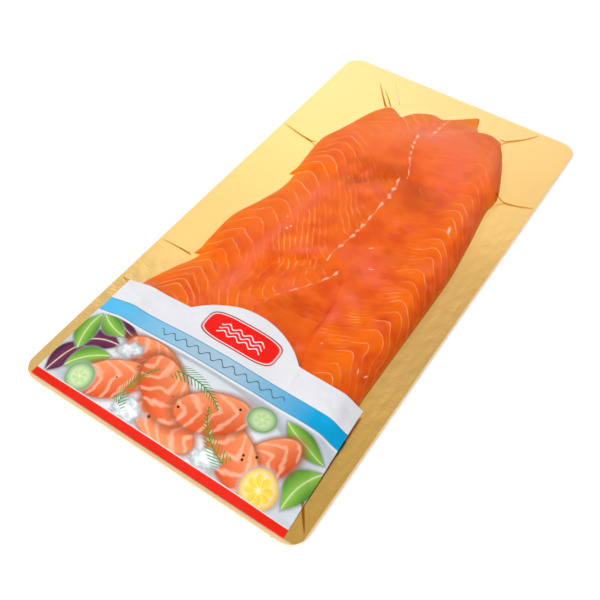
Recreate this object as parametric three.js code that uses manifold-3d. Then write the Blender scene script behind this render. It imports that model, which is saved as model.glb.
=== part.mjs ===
// A flat retail pack of cold-smoked salmon, lying face up: shingled slices on a
// gold-laminated board, a printed label over their near end, and the sealed border
// of the clear film that holds it all down.
//
// Millimetres, +Z up. X runs across the board and Y along it, from the label to the
// tail end of the fish. The origin is the middle of the board's underside. Places on
// the board are given as (across, along), measured from its near left corner.

import * as THREE from 'three';
import { mergeVertices } from 'three/addons/utils/BufferGeometryUtils.js';
import Module from 'manifold-3d';

const wasm = await Module();
wasm.setup();

const { clamp, lerp, smoothstep } = THREE.MathUtils;

// ---- Board ----
const BOARD_WIDTH = 180;
const BOARD_LENGTH = 344;
const BOARD_THICKNESS = 1;
const BOARD_CORNER_RADIUS = 10.5;
const NICK_WIDTH = 0.8; // two small tear nicks in the front edge
const NICK_DEPTH = 2.4;
const NICKS_ACROSS = [17, 165.5];

// ---- Clearance between pieces that touch ----
const GAP = 0.3;
const CUTTER_GROWTH = 0.5; // how much wider a slice is where it cuts the one above

// ---- Pile of slices ----
const PILE_HEIGHT = 10; // at the crown, above its own underside
const EDGE_THICKNESS = 2.2; // along the outline
const PILE_NEAR = 13.8; // where the pile starts, under the label
const LEFT_RISE = 64; // distance over which the pile climbs from each edge
const RIGHT_RISE = 10;
const FAR_RISE = 45;
const NEAR_RISE = 16;
const HOLLOW = { across: 82.5, along: 234, reachX: 16, reachY: 9.5, depth: 0.8 };

const SLICE_STEP = 1.1; // drop from the edge of a slice to the slice below it
const STEP_RECOVERY = 42; // distance over which the lower slice regains that height
const LAP_SLOPE = 0.25; // how steeply a slice dives under the one above
const LEAST_THICKNESS = 0.8;
const EDGE_ROUNDING = 1.5; // width of the rounded rim of a slice
const EDGE_DROP = 0.4; // how far the rim falls
const FLARE_LENGTH = 6; // reach of the flare at a slice's near left corner

// ---- Label ----
const LABEL_THICKNESS = 0.35;
const LABEL_SLACK = 0.3; // air under it, besides the gap
const LABEL_NEAR = 2.3;
const LABEL_TOP = 81;
const LABEL_LEFT = [6.4, 8.3]; // at its near end and at its top line
const LABEL_RIGHT = [170.7, 166.8];
const ARCH_LEFT = 54;
const ARCH_RIGHT = 126.5;
const ARCH_RISE = 16;
const TENT_FLAT = 0.8; // ledge just outside the pile, before the label slopes down
const TENT_REACH = 3.2; // where it meets the board

// ---- Film border ----
const FILM_THICKNESS = 0.35;
const FILM_INSET = 0.4; // from the board's edge
const FILM_CLEARANCE = 2.2; // from the slices and the label

const onBoard = (across, along) => new THREE.Vector2(across, along);
const centred = (across, along) => [across - BOARD_WIDTH / 2, along - BOARD_LENGTH / 2];

// ---------------------------------------------------------------- curves

// A smooth curve through points whose knots are one of their coordinates, so that
// it is a function of that coordinate: 'x' for edges that run across, 'y' for those
// that run along. Cubic between neighbours, with the slopes of their chords.
const smoothCurve = (points, axis) => {
  const other = axis === 'x' ? 'y' : 'x';
  const knots = points.map((point) => point[axis]);
  const values = points.map((point) => point[other]);
  const last = points.length - 1;
  const slope = (i) => {
    const before = Math.max(i - 1, 0);
    const after = Math.min(i + 1, last);
    return (values[after] - values[before]) / (knots[after] - knots[before]);
  };
  const value = (position) => {
    const here = clamp(position, knots[0], knots[last]);
    let i = 0;
    while (i < last - 1 && here > knots[i + 1]) i += 1;
    const span = knots[i + 1] - knots[i];
    const t = (here - knots[i]) / span;
    const blend = t * t * (3 - 2 * t);
    const lead = t * (1 - t) * (1 - t) * span * slope(i);
    const trail = t * t * (t - 1) * span * slope(i + 1);
    return lerp(values[i], values[i + 1], blend) + lead + trail;
  };
  const at = (t) => {
    const position = lerp(knots[0], knots[last], t);
    return axis === 'x' ? onBoard(position, value(position)) : onBoard(value(position), position);
  };
  return { value, at };
};

const alongCurve = (pairs) => smoothCurve(pairs.map(([across, along]) => onBoard(across, along)), 'y');
const acrossCurve = (pairs) => smoothCurve(pairs.map(([across, along]) => onBoard(across, along)), 'x');

// ---------------------------------------------------------------- the pile

// Its outline: the two long sides, and the rounded line of the tail end.
const PILE_LEFT = alongCurve([
  [19, 15], [13, 42.5], [15.5, 82.5], [23, 104], [28.5, 118.5], [26, 132.5], [25.5, 156.5], [32, 177],
  [36.5, 196], [36, 212], [33.5, 227.5], [32, 250], [36.5, 263.5], [46.5, 295.5], [52, 304],
]);
const PILE_RIGHT = alongCurve([
  [149.5, 15], [160, 36], [163, 59.5], [162, 95.5], [162, 159], [161.5, 191.5], [158.5, 223.5], [155, 254],
  [156, 266], [152.5, 278.5], [142, 304], [134.5, 317],
]);
const PILE_FAR = acrossCurve([[46.5, 300.5], [90, 317.5], [116.5, 323], [134.5, 317.5]]);

const rise = (distance, reach, roundness) => 1 - (1 - clamp(distance / reach, 0, 1)) ** roundness;

// Height of the pile's crown above its own underside: one rounded shoulder for each
// side, multiplied together, less the shallow hollow where two slices fold.
const crown = (across, along) => {
  const shoulders = rise(across - PILE_LEFT.value(along), LEFT_RISE, 1.4)
    * rise(PILE_RIGHT.value(along) - across, RIGHT_RISE, 2.2)
    * rise(PILE_FAR.value(across) - along, FAR_RISE, 1.5)
    * rise(along - PILE_NEAR, NEAR_RISE, 2);
  const inHollow = ((across - HOLLOW.across) / HOLLOW.reachX) ** 2
    + ((along - HOLLOW.along) / HOLLOW.reachY) ** 2;
  const hollow = HOLLOW.depth * Math.exp(-inHollow);
  return EDGE_THICKNESS + (PILE_HEIGHT - EDGE_THICKNESS) * shoulders - hollow;
};

// ---------------------------------------------------------------- outlines of slices

const LEFT_SIDE = { curve: PILE_LEFT, outward: -1 };
const RIGHT_SIDE = { curve: PILE_RIGHT, outward: 1 };

// A slice's long edge follows the side of the pile. Its near corner may flare
// outwards, and where another slice covers it, it is tucked in.
const sideEdge = (side, from, to, { flare = 0, coveredFrom = to, tuck = 0 } = {}) => (t) => {
  const along = lerp(from, to, t);
  const flared = flare * Math.exp((from - along) / FLARE_LENGTH);
  const tucked = tuck * smoothstep(along, coveredFrom, to);
  return onBoard(side.curve.value(along) + side.outward * (flared - tucked), along);
};
const straightEdge = (start, end) => (t) => start.clone().lerp(end, t);

// The four edges of a slice: the cross edges run between the ends of the long ones.
const outline = ({ left, right, near, far }) => ({
  left,
  right,
  near: acrossCurve([left(0).toArray(), ...near, right(0).toArray()]),
  far: acrossCurve([left(1).toArray(), ...far, right(1).toArray()]),
});

// A point of the patch that fills the four edges, for u across and v along, from 0 to 1.
const patchPoint = ({ left, right, near, far }, u, v) => {
  const corners = near.at(0).multiplyScalar((1 - u) * (1 - v))
    .addScaledVector(near.at(1), u * (1 - v))
    .addScaledVector(far.at(0), (1 - u) * v)
    .addScaledVector(far.at(1), u * v);
  return near.at(u).multiplyScalar(1 - v)
    .addScaledVector(far.at(u), v)
    .addScaledVector(left(v), 1 - u)
    .addScaledVector(right(v), u)
    .sub(corners);
};

const SLICES = {
  slice_1: outline({
    left: sideEdge(LEFT_SIDE, 209.5, 303, { flare: 3.5 }),
    right: sideEdge(RIGHT_SIDE, 265, 317),
    near: [[48.5, 219.5], [70, 224.5], [86, 232], [102.5, 241.5], [125, 247], [145, 255]],
    far: [[55.5, 306.5], [65, 301], [75, 293.5], [86.5, 286.5], [98, 290], [108, 302],
      [118, 315.5], [125.5, 319.5]],
  }),
  slice_2: outline({
    left: sideEdge(LEFT_SIDE, 119.5, 234, { flare: 4, coveredFrom: 210.5, tuck: 6 }),
    right: sideEdge(RIGHT_SIDE, 59.5, 277.5, { coveredFrom: 262.5, tuck: 6 }),
    near: [[36.5, 122], [54.5, 119.5], [65.5, 126], [76.5, 138], [89.5, 149.5], [101.5, 153.5],
      [111, 149], [116.5, 135.5], [119, 122], [121, 105], [124.5, 87], [131.5, 72], [146, 62.5]],
    far: [[63.5, 243.5], [87, 252], [102.5, 258.5], [125, 263.5]],
  }),
  slice_3: outline({
    left: sideEdge(LEFT_SIDE, 19, 148, { coveredFrom: 118.5, tuck: 7 }),
    right: sideEdge(RIGHT_SIDE, 19, 174.5, { coveredFrom: 56, tuck: 24 }),
    near: [[32, 15], [63.5, 13.5], [106, 13.5], [140, 15]],
    far: [[63.5, 159], [90, 180], [106, 183], [122, 179]],
  }),
  slice_tail: outline({
    left: straightEdge(onBoard(70, 271), onBoard(65, 300.5)),
    right: straightEdge(onBoard(123, 277.5), onBoard(118, 317)),
    near: [[95.5, 267]],
    far: [[70.5, 310], [78, 315], [84.5, 317], [90.5, 315.5], [97, 320.5], [106, 328.5],
      [111.5, 331.5], [114, 323.5]],
  }),
};

// How far a place lies inside the slice above, from that slice's edge: positive where
// it is covered. `covers` says on which side of the edge the upper slice lies.
const lapDepth = (edge, covers) => {
  const samples = Array.from({ length: 201 }, (_, i) => edge.at(i / 200));
  return (across, along) => {
    const place = onBoard(across, along);
    const distance = Math.min(...samples.map((sample) => sample.distanceTo(place)));
    return covers(along, edge.value(across)) ? distance : -distance;
  };
};
const beyond = (along, edge) => along > edge;
const before = (along, edge) => along < edge;
const COVERED = {
  slice_1: () => -Infinity,
  slice_2: lapDepth(SLICES.slice_1.near, beyond),
  slice_3: lapDepth(SLICES.slice_2.near, beyond),
  slice_tail: lapDepth(SLICES.slice_1.far, before),
};

// Top of a slice above the pile's underside. It steps down at the edge of the slice
// above, dives under it, and climbs back to the crown away from it.
const sliceTop = (name, across, along) => {
  const depth = COVERED[name](across, along);
  const step = SLICE_STEP * (1 - clamp(-depth / STEP_RECOVERY, 0, 1)) ** 2;
  const dive = LAP_SLOPE * Math.max(depth, 0);
  return Math.max(crown(across, along) - step - dive, LEAST_THICKNESS);
};

// ---------------------------------------------------------------- closed grids

// Evenly spaced stations from 0 to 1, with one more close to each end.
const stations = (count, rim) => {
  const even = Array.from({ length: count + 1 }, (_, i) => i / count);
  return [0, rim, ...even.slice(1, -1), 1 - rim, 1];
};

// A closed body over a grid of places: grid[row][column] is {place, top, bottom}, with
// rows along and columns across. Both faces are split alike, with a wall all round.
const gridBody = (grid) => {
  const rows = grid.length;
  const columns = grid[0].length;
  const positions = [];
  for (const level of ['top', 'bottom']) {
    for (const node of grid.flat()) positions.push(...centred(node.place.x, node.place.y), node[level]);
  }
  const index = [];
  const quad = (a, b, c, d) => index.push(a, b, c, a, c, d);
  const top = (row, column) => row * columns + column;
  const bottom = (row, column) => rows * columns + top(row, column);
  for (let row = 0; row < rows - 1; row += 1) {
    for (let column = 0; column < columns - 1; column += 1) {
      quad(top(row, column), top(row, column + 1), top(row + 1, column + 1), top(row + 1, column));
      quad(bottom(row, column), bottom(row + 1, column), bottom(row + 1, column + 1),
        bottom(row, column + 1));
    }
    quad(top(row, 0), top(row + 1, 0), bottom(row + 1, 0), bottom(row, 0));
    quad(top(row + 1, columns - 1), top(row, columns - 1), bottom(row, columns - 1),
      bottom(row + 1, columns - 1));
  }
  for (let column = 0; column < columns - 1; column += 1) {
    quad(top(0, column + 1), top(0, column), bottom(0, column), bottom(0, column + 1));
    quad(top(rows - 1, column), top(rows - 1, column + 1), bottom(rows - 1, column + 1),
      bottom(rows - 1, column));
  }
  const geometry = new THREE.BufferGeometry();
  geometry.setAttribute('position', new THREE.Float32BufferAttribute(positions, 3));
  geometry.setIndex(index);
  return geometry;
};

// ---------------------------------------------------------------- joining and cutting

const toSolid = (geometry) => {
  const bare = geometry.clone();
  bare.deleteAttribute('normal');
  bare.deleteAttribute('uv');
  const merged = mergeVertices(bare, 1e-4);
  return new wasm.Manifold(new wasm.Mesh({
    numProp: 3,
    vertProperties: new Float32Array(merged.attributes.position.array),
    triVerts: new Uint32Array(merged.index.array),
  }));
};

const toGeometry = (solid) => {
  const mesh = solid.getMesh();
  const geometry = new THREE.BufferGeometry();
  geometry.setAttribute('position', new THREE.BufferAttribute(mesh.vertProperties, 3));
  geometry.setIndex(new THREE.BufferAttribute(mesh.triVerts, 1));
  geometry.computeVertexNormals();
  return geometry;
};

// Cutting can leave a loose scrap beside the piece, which is dropped.
const largest = (solids) => solids.reduce((kept, other) => (other.volume() > kept.volume() ? other : kept));

// ---------------------------------------------------------------- board

const roundedRectangle = (inset) => {
  const x = BOARD_WIDTH / 2 - inset;
  const y = BOARD_LENGTH / 2 - inset;
  const r = BOARD_CORNER_RADIUS - inset;
  const shape = new THREE.Shape();
  shape.absarc(x - r, -y + r, r, -Math.PI / 2, 0);
  shape.absarc(x - r, y - r, r, 0, Math.PI / 2);
  shape.absarc(-x + r, y - r, r, Math.PI / 2, Math.PI);
  shape.absarc(-x + r, -y + r, r, Math.PI, 1.5 * Math.PI);
  return shape;
};

const nickedRectangle = () => {
  const shape = roundedRectangle(0);
  for (const across of NICKS_ACROSS) {
    const [x, y] = centred(across, 0);
    shape.lineTo(x - NICK_WIDTH / 2, y);
    shape.lineTo(x, y + NICK_DEPTH);
    shape.lineTo(x + NICK_WIDTH / 2, y);
  }
  return shape;
};

const sheet = (shape, thickness) => (
  new THREE.ExtrudeGeometry(shape, { depth: thickness, bevelEnabled: false, curveSegments: 8 })
);

// ---------------------------------------------------------------- slices

const SLICE_UNDERSIDE = BOARD_THICKNESS + GAP;

// `grow` widens and thickens the slice, which makes the cutter for the slice above.
const sliceSolid = (name, columns, rows, grow = 0) => {
  const edges = SLICES[name];
  const middle = patchPoint(edges, 0.5, 0.5);
  const width = edges.near.at(0).distanceTo(edges.near.at(1));
  const length = edges.left(0).distanceTo(edges.left(1));
  const across = stations(columns, EDGE_ROUNDING / width);
  const along = stations(rows, EDGE_ROUNDING / length);
  const grid = along.map((v, row) => across.map((u, column) => {
    const onRim = row === 0 || column === 0 || row === along.length - 1 || column === across.length - 1;
    const inner = patchPoint(edges, u, v);
    const outwards = inner.clone().sub(middle).normalize();
    const top = sliceTop(name, inner.x, inner.y) - (onRim && grow === 0 ? EDGE_DROP : 0);
    return {
      place: onRim ? inner.addScaledVector(outwards, grow) : inner,
      top: SLICE_UNDERSIDE + Math.max(top, LEAST_THICKNESS / 2) + grow,
      bottom: SLICE_UNDERSIDE - grow,
    };
  }));
  return toSolid(gridBody(grid));
};

const GRIDS = {
  slice_1: [22, 16],
  slice_2: [24, 26],
  slice_3: [22, 24],
  slice_tail: [17, 10],
};
const slice = (name, ...below) => {
  const cutters = below.map((lower) => sliceSolid(lower, ...GRIDS[lower], CUTTER_GROWTH));
  return cutters.reduce((solid, cutter) => solid.subtract(cutter), sliceSolid(name, ...GRIDS[name]));
};

// ---------------------------------------------------------------- label

// Lowest place a sheet laid over the pile can reach: on the pile, on the ledge just
// outside it, down the short slope from there, or on the board.
const underSheet = (across, along) => {
  const outside = Math.max(
    PILE_LEFT.value(along) - across,
    across - PILE_RIGHT.value(along),
    PILE_NEAR - along,
  );
  const slope = EDGE_THICKNESS / (TENT_REACH - TENT_FLAT);
  const pile = outside <= 0
    ? crown(across, along)
    : EDGE_THICKNESS - slope * Math.max(outside - TENT_FLAT, 0);
  return SLICE_UNDERSIDE + Math.max(pile, -GAP) + GAP + LABEL_SLACK;
};

// The label's top line: straight, with a round arch over its middle.
const labelTopLine = (across) => {
  const halfWidth = (ARCH_RIGHT - ARCH_LEFT) / 2;
  const radius = (halfWidth ** 2 + ARCH_RISE ** 2) / (2 * ARCH_RISE);
  const fromMiddle = Math.min(Math.abs(across - ARCH_LEFT - halfWidth), halfWidth);
  return LABEL_TOP + Math.sqrt(radius ** 2 - fromMiddle ** 2) - (radius - ARCH_RISE);
};

// Evenly spaced values from one anchor up to, not including, the next.
const spread = (from, to, count) => Array.from({ length: count }, (_, i) => lerp(from, to, i / count));

// Columns stand close together where the label bends over the pile's edges.
const labelColumns = (along) => {
  const left = PILE_LEFT.value(along);
  const right = PILE_RIGHT.value(along);
  const height = along / LABEL_TOP;
  return [
    lerp(...LABEL_LEFT, height),
    left - TENT_REACH,
    ...spread(left - TENT_FLAT, ARCH_LEFT, 5),
    ...spread(ARCH_LEFT, ARCH_RIGHT, 10),
    ...spread(ARCH_RIGHT, right - RIGHT_RISE, 3),
    ...[RIGHT_RISE, 6.5, 4, 1.8].map((inside) => right - inside),
    right + TENT_FLAT,
    right + TENT_REACH,
    lerp(...LABEL_RIGHT, height),
  ];
};

const LABEL_FRONT_ROWS = [LABEL_NEAR, PILE_NEAR - TENT_REACH, PILE_NEAR - TENT_FLAT, 16, 19.5, 24];
const LABEL_EVEN_FROM = 30;
const LABEL_EVEN_ROWS = 11;
const labelGeometry = () => {
  const rows = [];
  for (const along of LABEL_FRONT_ROWS) {
    rows.push(labelColumns(along).map((across) => onBoard(across, along)));
  }
  for (let i = 0; i <= LABEL_EVEN_ROWS; i += 1) {
    const columns = labelColumns(lerp(LABEL_EVEN_FROM, LABEL_TOP, i / LABEL_EVEN_ROWS));
    rows.push(columns.map((across) => (
      onBoard(across, lerp(LABEL_EVEN_FROM, labelTopLine(across), i / LABEL_EVEN_ROWS)))));
  }
  return gridBody(rows.map((row) => row.map((place) => {
    const bottom = underSheet(place.x, place.y);
    return { place, bottom, top: bottom + LABEL_THICKNESS };
  })));
};

// ---------------------------------------------------------------- film border

// Tension ridges in the film, each from the pile out towards the board's edge.
const RIDGES = [
  { path: [[52, 304], [43, 315], [33, 327.5]], width: 2, height: 0.9 },
  { path: [[54, 307], [47.5, 315], [40, 323]], width: 1.4, height: 0.6 },
  { path: [[57, 314.5], [48.5, 326], [41, 336.5]], width: 1.6, height: 0.5 },
  { path: [[30.5, 244.5], [15.5, 247], [2, 250]], width: 2.2, height: 0.9 },
  { path: [[133.5, 318.5], [141, 326], [147, 332.5], [152.5, 340.5]], width: 2, height: 0.9 },
  { path: [[154.5, 265.5], [167.5, 268.5], [178.5, 273]], width: 2, height: 0.9 },
  { path: [[23.5, 117.5], [2, 117.5]], width: 1, height: 0.35 },
  { path: [[8, 80], [2, 81]], width: 1, height: 0.35 },
  { path: [[168.5, 22], [177.5, 10]], width: 1.6, height: 0.6 },
];
const RIDGE_STEPS = 8;

// A ridge is a low roof along its path, thinning to a quarter at its far end.
const ridgeSolid = ({ path, width, height }, filmTop) => {
  const points = path.map(([across, along]) => new THREE.Vector3(...centred(across, along), 0));
  const curve = new THREE.CatmullRomCurve3(points);
  const embedded = FILM_THICKNESS / 2;
  const grid = [];
  for (let i = 0; i <= RIDGE_STEPS; i += 1) {
    const t = i / RIDGE_STEPS;
    const taper = lerp(1, 0.25, t ** 2);
    const here = curve.getPointAt(t);
    const along = curve.getTangentAt(t);
    const sideways = new THREE.Vector2(-along.y, along.x);
    grid.push([1, 0.4, -0.4, -1].map((side) => ({
      place: onBoard(here.x + BOARD_WIDTH / 2, here.y + BOARD_LENGTH / 2)
        .addScaledVector(sideways, side * taper * width / 2),
      top: filmTop + (Math.abs(side) < 1 ? height * taper : 0),
      bottom: filmTop - embedded,
    })));
  }
  return toSolid(gridBody(grid));
};

// The prism over a piece's outline, which keeps the film clear of it.
const clearance = (place, columns, rows) => {
  const middle = place(0.5, 0.5);
  const pushed = (u, v) => {
    const point = place(u, v);
    return point.addScaledVector(point.clone().sub(middle).normalize(), FILM_CLEARANCE);
  };
  const steps = (count) => Array.from({ length: count + 1 }, (_, i) => i / count);
  const grid = steps(rows).map((v) => steps(columns).map((u) => (
    { place: pushed(u, v), top: 2 * PILE_HEIGHT, bottom: 0 })));
  return toSolid(gridBody(grid));
};

const labelOutline = (u, v) => {
  const across = lerp(lerp(...LABEL_LEFT, v), lerp(...LABEL_RIGHT, v), u);
  return onBoard(across, lerp(LABEL_NEAR, labelTopLine(across), v));
};

const filmSolid = () => {
  const underside = BOARD_THICKNESS + GAP;
  const border = toSolid(sheet(roundedRectangle(FILM_INSET), FILM_THICKNESS)).translate(0, 0, underside);
  const ridged = RIDGES.reduce(
    (solid, ridge) => solid.add(ridgeSolid(ridge, underside + FILM_THICKNESS)),
    border,
  );
  const prisms = Object.values(SLICES).map((edges) => (
    clearance((u, v) => patchPoint(edges, u, v), 20, 20)));
  prisms.push(clearance(labelOutline, 20, 1));
  const cut = prisms.reduce((solid, prism) => solid.subtract(prism), ridged);
  return largest(cut.decompose());
};

// ---------------------------------------------------------------- materials

const finish = (color, roughness, metalness = 0) => (
  new THREE.MeshStandardMaterial({ color, roughness, metalness })
);
const GOLD_LAMINATE = finish('#e6bd6e', 0.3, 0.8);
const SALMON = finish('#e5682f', 0.35);
const LABEL_STOCK = finish('#e9e9ec', 0.4);
const CLEAR_FILM = finish('#f4efe2', 0.08);
CLEAR_FILM.transparent = true;
CLEAR_FILM.opacity = 0.25;

// ---------------------------------------------------------------- the pack

const piece = (name, geometry, material) => {
  const mesh = new THREE.Mesh(geometry, material.clone());
  mesh.name = name;
  return mesh;
};

const pack = new THREE.Group();
pack.name = 'smoked_salmon_pack';
pack.add(
  piece('board', sheet(nickedRectangle(), BOARD_THICKNESS), GOLD_LAMINATE),
  piece('slice_3', toGeometry(slice('slice_3')), SALMON),
  piece('slice_2', toGeometry(slice('slice_2', 'slice_3')), SALMON),
  piece('slice_tail', toGeometry(slice('slice_tail')), SALMON),
  piece('slice_1', toGeometry(slice('slice_1', 'slice_2', 'slice_tail')), SALMON),
  piece('label', labelGeometry(), LABEL_STOCK),
  piece('film', toGeometry(filmSolid()), CLEAR_FILM),
);

export default pack;
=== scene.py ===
import math

import bpy
import numpy as np
from mathutils import Matrix, Vector


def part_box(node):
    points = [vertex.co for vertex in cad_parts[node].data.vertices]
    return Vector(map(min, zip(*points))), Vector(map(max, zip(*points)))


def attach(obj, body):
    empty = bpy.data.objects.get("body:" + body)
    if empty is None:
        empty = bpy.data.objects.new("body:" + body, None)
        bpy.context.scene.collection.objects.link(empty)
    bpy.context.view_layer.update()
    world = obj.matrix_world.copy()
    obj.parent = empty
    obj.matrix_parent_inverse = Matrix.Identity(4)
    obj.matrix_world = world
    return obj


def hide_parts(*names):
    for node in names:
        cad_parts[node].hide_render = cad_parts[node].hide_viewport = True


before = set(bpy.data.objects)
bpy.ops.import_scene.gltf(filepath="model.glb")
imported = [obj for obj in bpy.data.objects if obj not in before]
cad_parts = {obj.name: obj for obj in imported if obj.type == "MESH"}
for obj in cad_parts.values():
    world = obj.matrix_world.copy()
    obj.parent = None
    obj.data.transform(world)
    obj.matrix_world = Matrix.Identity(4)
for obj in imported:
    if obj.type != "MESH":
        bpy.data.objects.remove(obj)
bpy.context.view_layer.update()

# Shapes are worked out in millimetres. A place is (across, along) from the board's near
# left corner: across runs over its width, along from the label end to the tail end of
# the fish, and heights start at the board's underside.
MM = 0.001

board_low, board_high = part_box("board")
BOARD_WIDTH = (board_high.x - board_low.x) / MM
BOARD_LENGTH = (board_high.y - board_low.y) / MM
BOARD_TOP = board_high.z / MM
BOARD_CORNER_RADIUS = 10.5
NICK_WIDTH = 0.8
NICK_DEPTH = 2.4
NICKS_ACROSS = (17, 165.5)
BOARD_PITCH = 1.25  # grid spacing of its faces
BOARD_RIM_FALL = 0.06  # its outermost line of points lies this much lower
FOIL_RELIEF = 0.035  # height of the laminate's crinkles
FOIL_WAVELENGTH = 6

# The pile of slices, as the frame's solids have it.
PILE_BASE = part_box("slice_1")[0].z / MM
PILE_HEIGHT = 10
EDGE_THICKNESS = 2.2  # its height at its sides
PILE_NEAR = 13.8  # where it begins along the board
# How far in the pile climbs from each side, and how round that shoulder is.
LEFT_SHOULDER = (64, 1.4)
RIGHT_SHOULDER = (10, 2.2)
FAR_SHOULDER = (45, 1.5)
NEAR_SHOULDER = (16, 2)
HOLLOW = {"across": 82.5, "along": 234, "reach_x": 16, "reach_y": 9.5, "depth": 0.8}
# Its unevenness: height, wavelength and seed of each ripple, and the height kept for them.
PILE_RIPPLES = [(0.09, 24, 11), (0.04, 9, 12)]
RIPPLE_ROOM = 0.2
SLICE_STEP = 1.1  # how far a slice lies below the edge of the one above
STEP_RECOVERY = 42  # over which it climbs back to the crown
LAP_SLOPE = 0.25  # how steeply it dives under the one above
LEAST_HEIGHT = 0.8  # of a slice's top over the pile's base
FLARE_LENGTH = 6  # over which a near corner's flare dies away

RIM_RADIUS = 1.6  # rounding of a slice's cut edge
RIM_SHARE = 0.85  # most of a thin edge's thickness that the rounding takes
RIM_STATIONS = (0, 0.12, 0.35, 0.7, 1.15, 1.7)  # grid lines over that rounding
LAP_REACH = 6.5  # over which a slice thins out to its edge on another slice
LAP_SINK = 0.06  # how far that edge sinks into the slice below
TOUCH = 0.12  # air between pieces that lie on each other
LAP_TOUCH = 0.02  # air between wet slices
# Distances inside another slice's edge: over the first two a slice's underside climbs onto
# the slice below, and over the last two its muscle relief dies away before the one above.
LAP_CLIMB = (-1.2, -0.3)
RELIEF_FADE = (-2.5, -0.5)
THIN_BODY = 0.1  # least thickness of a slice, before its rim is rounded
THIN_RIM = 0.08  # and after

# The label and the film.
LABEL_STOCK = 0.2
LABEL_NEAR = 2.3
LABEL_TOP = 81
LABEL_LEFT = (6.4, 8.3)  # at its near end and at its top line
LABEL_RIGHT = (170.7, 166.8)
ARCH_LEFT = 54
ARCH_RIGHT = 126.5
ARCH_RISE = 16
LABEL_PITCH = 0.8
LABEL_DRAW_STEPS = 60  # how stiffly the label spans from the pile down to the board
# The cockling of its paper, broad and fine.
COCKLE = {"height": 0.18, "wavelength": 26}
FINE_COCKLE = {"height": 0.03, "wavelength": 8}
# A crease below the arch's right end, and a wave over the label's left end. Each grows up
# from nothing between two places along the label.
CREASE = {"across": 128.5, "lean": 0.12, "lean_from": 70, "height": 0.5, "reach": 1.1, "grows": (56, 78)}
LABEL_WAVE = {"across": 25, "height": 2.2, "reach": 9, "grows": (22, 55)}
FILM_THICKNESS = 0.1
FILM_INSET = 0.4
FILM_PITCH = 1.15
FILM_DRAW_STEPS = 5  # how far the film tents out from what it covers


def place(across, along, height):
    """Metres in the frame for millimetres from the board's near left corner."""
    x = (across - BOARD_WIDTH / 2) * MM
    y = (along - BOARD_LENGTH / 2) * MM
    return np.stack(np.broadcast_arrays(x, y, height * MM), axis=-1)


# ------------------------------------------------------------------ curves and ripples


class Curve:
    """A smooth line through points, as a function of one coordinate (axis 0 is across).

    Between neighbours it is the cubic that has their chords' slopes at both ends."""

    def __init__(self, points, axis):
        points = np.array(points, float)
        last = len(points) - 1
        step = np.arange(last + 1)
        before, after = np.maximum(step - 1, 0), np.minimum(step + 1, last)
        self.axis = axis
        self.knots = points[:, axis]
        self.values = points[:, 1 - axis]
        rise_over = self.values[after] - self.values[before]
        self.slopes = rise_over / (self.knots[after] - self.knots[before])

    def value(self, position):
        """The other coordinate at a position, held level past both ends."""
        here = np.clip(position, self.knots[0], self.knots[-1])
        i = np.clip(np.searchsorted(self.knots, here) - 1, 0, len(self.knots) - 2)
        span = self.knots[i + 1] - self.knots[i]
        t = (here - self.knots[i]) / span
        blend = t * t * (3 - 2 * t)
        lead = t * (1 - t) ** 2 * span * self.slopes[i]
        trail = t * t * (t - 1) * span * self.slopes[i + 1]
        return self.values[i] * (1 - blend) + self.values[i + 1] * blend + lead + trail

    def at(self, t):
        """Points at shares t of the way from the first knot to the last."""
        position = self.knots[0] + t * (self.knots[-1] - self.knots[0])
        pair = (position, self.value(position))
        return np.stack(pair if self.axis == 0 else pair[::-1], axis=-1)


def smoothstep(value, low, high):
    """0 below low, 1 above high, and t^2 (3 - 2 t) between them."""
    t = np.clip((value - low) / (high - low), 0, 1)
    return t * t * (3 - 2 * t)


def ripple(across, along, wavelength, seed, waves=14, stretch=1.0):
    """Soft unevenness between about -1 and 1: the sum of plane waves of one wavelength in
    random directions and phases, sum(cos(k.p + phase)) / sqrt(waves), with the along
    direction drawn out `stretch` times."""
    rng = np.random.default_rng(seed)
    total = np.zeros(np.broadcast(across, along).shape)
    for _ in range(waves):
        heading, phase = rng.uniform(0, 2 * math.pi, 2)
        k = 2 * math.pi / (wavelength * rng.uniform(0.75, 1.35))
        total += np.cos(k * (across * math.cos(heading) + along / stretch * math.sin(heading)) + phase)
    return total / math.sqrt(waves)


def ripples(across, along, parts):
    """Sum of ripples, each given by its height, wavelength and seed."""
    return sum(height * ripple(across, along, wavelength, seed) for height, wavelength, seed in parts)


# ------------------------------------------------------------------ the pile

PILE_LEFT = Curve([
    (19, 15), (13, 42.5), (15.5, 82.5), (23, 104), (28.5, 118.5), (26, 132.5), (25.5, 156.5),
    (32, 177), (36.5, 196), (36, 212), (33.5, 227.5), (32, 250), (36.5, 263.5), (46.5, 295.5),
    (52, 304),
], axis=1)
PILE_RIGHT = Curve([
    (149.5, 15), (160, 36), (163, 59.5), (162, 95.5), (162, 159), (161.5, 191.5), (158.5, 223.5),
    (155, 254), (156, 266), (152.5, 278.5), (142, 304), (134.5, 317),
], axis=1)
PILE_FAR = Curve([(46.5, 300.5), (90, 317.5), (116.5, 323), (134.5, 317.5)], axis=0)


ENDS = np.array([0.0, 1.0])  # both ends of an edge, as shares of its length


def rise(distance, reach, roundness):
    """1 - (1 - distance / reach) ** roundness, level past the reach."""
    return 1 - (1 - np.clip(distance / reach, 0, 1)) ** roundness


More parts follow.
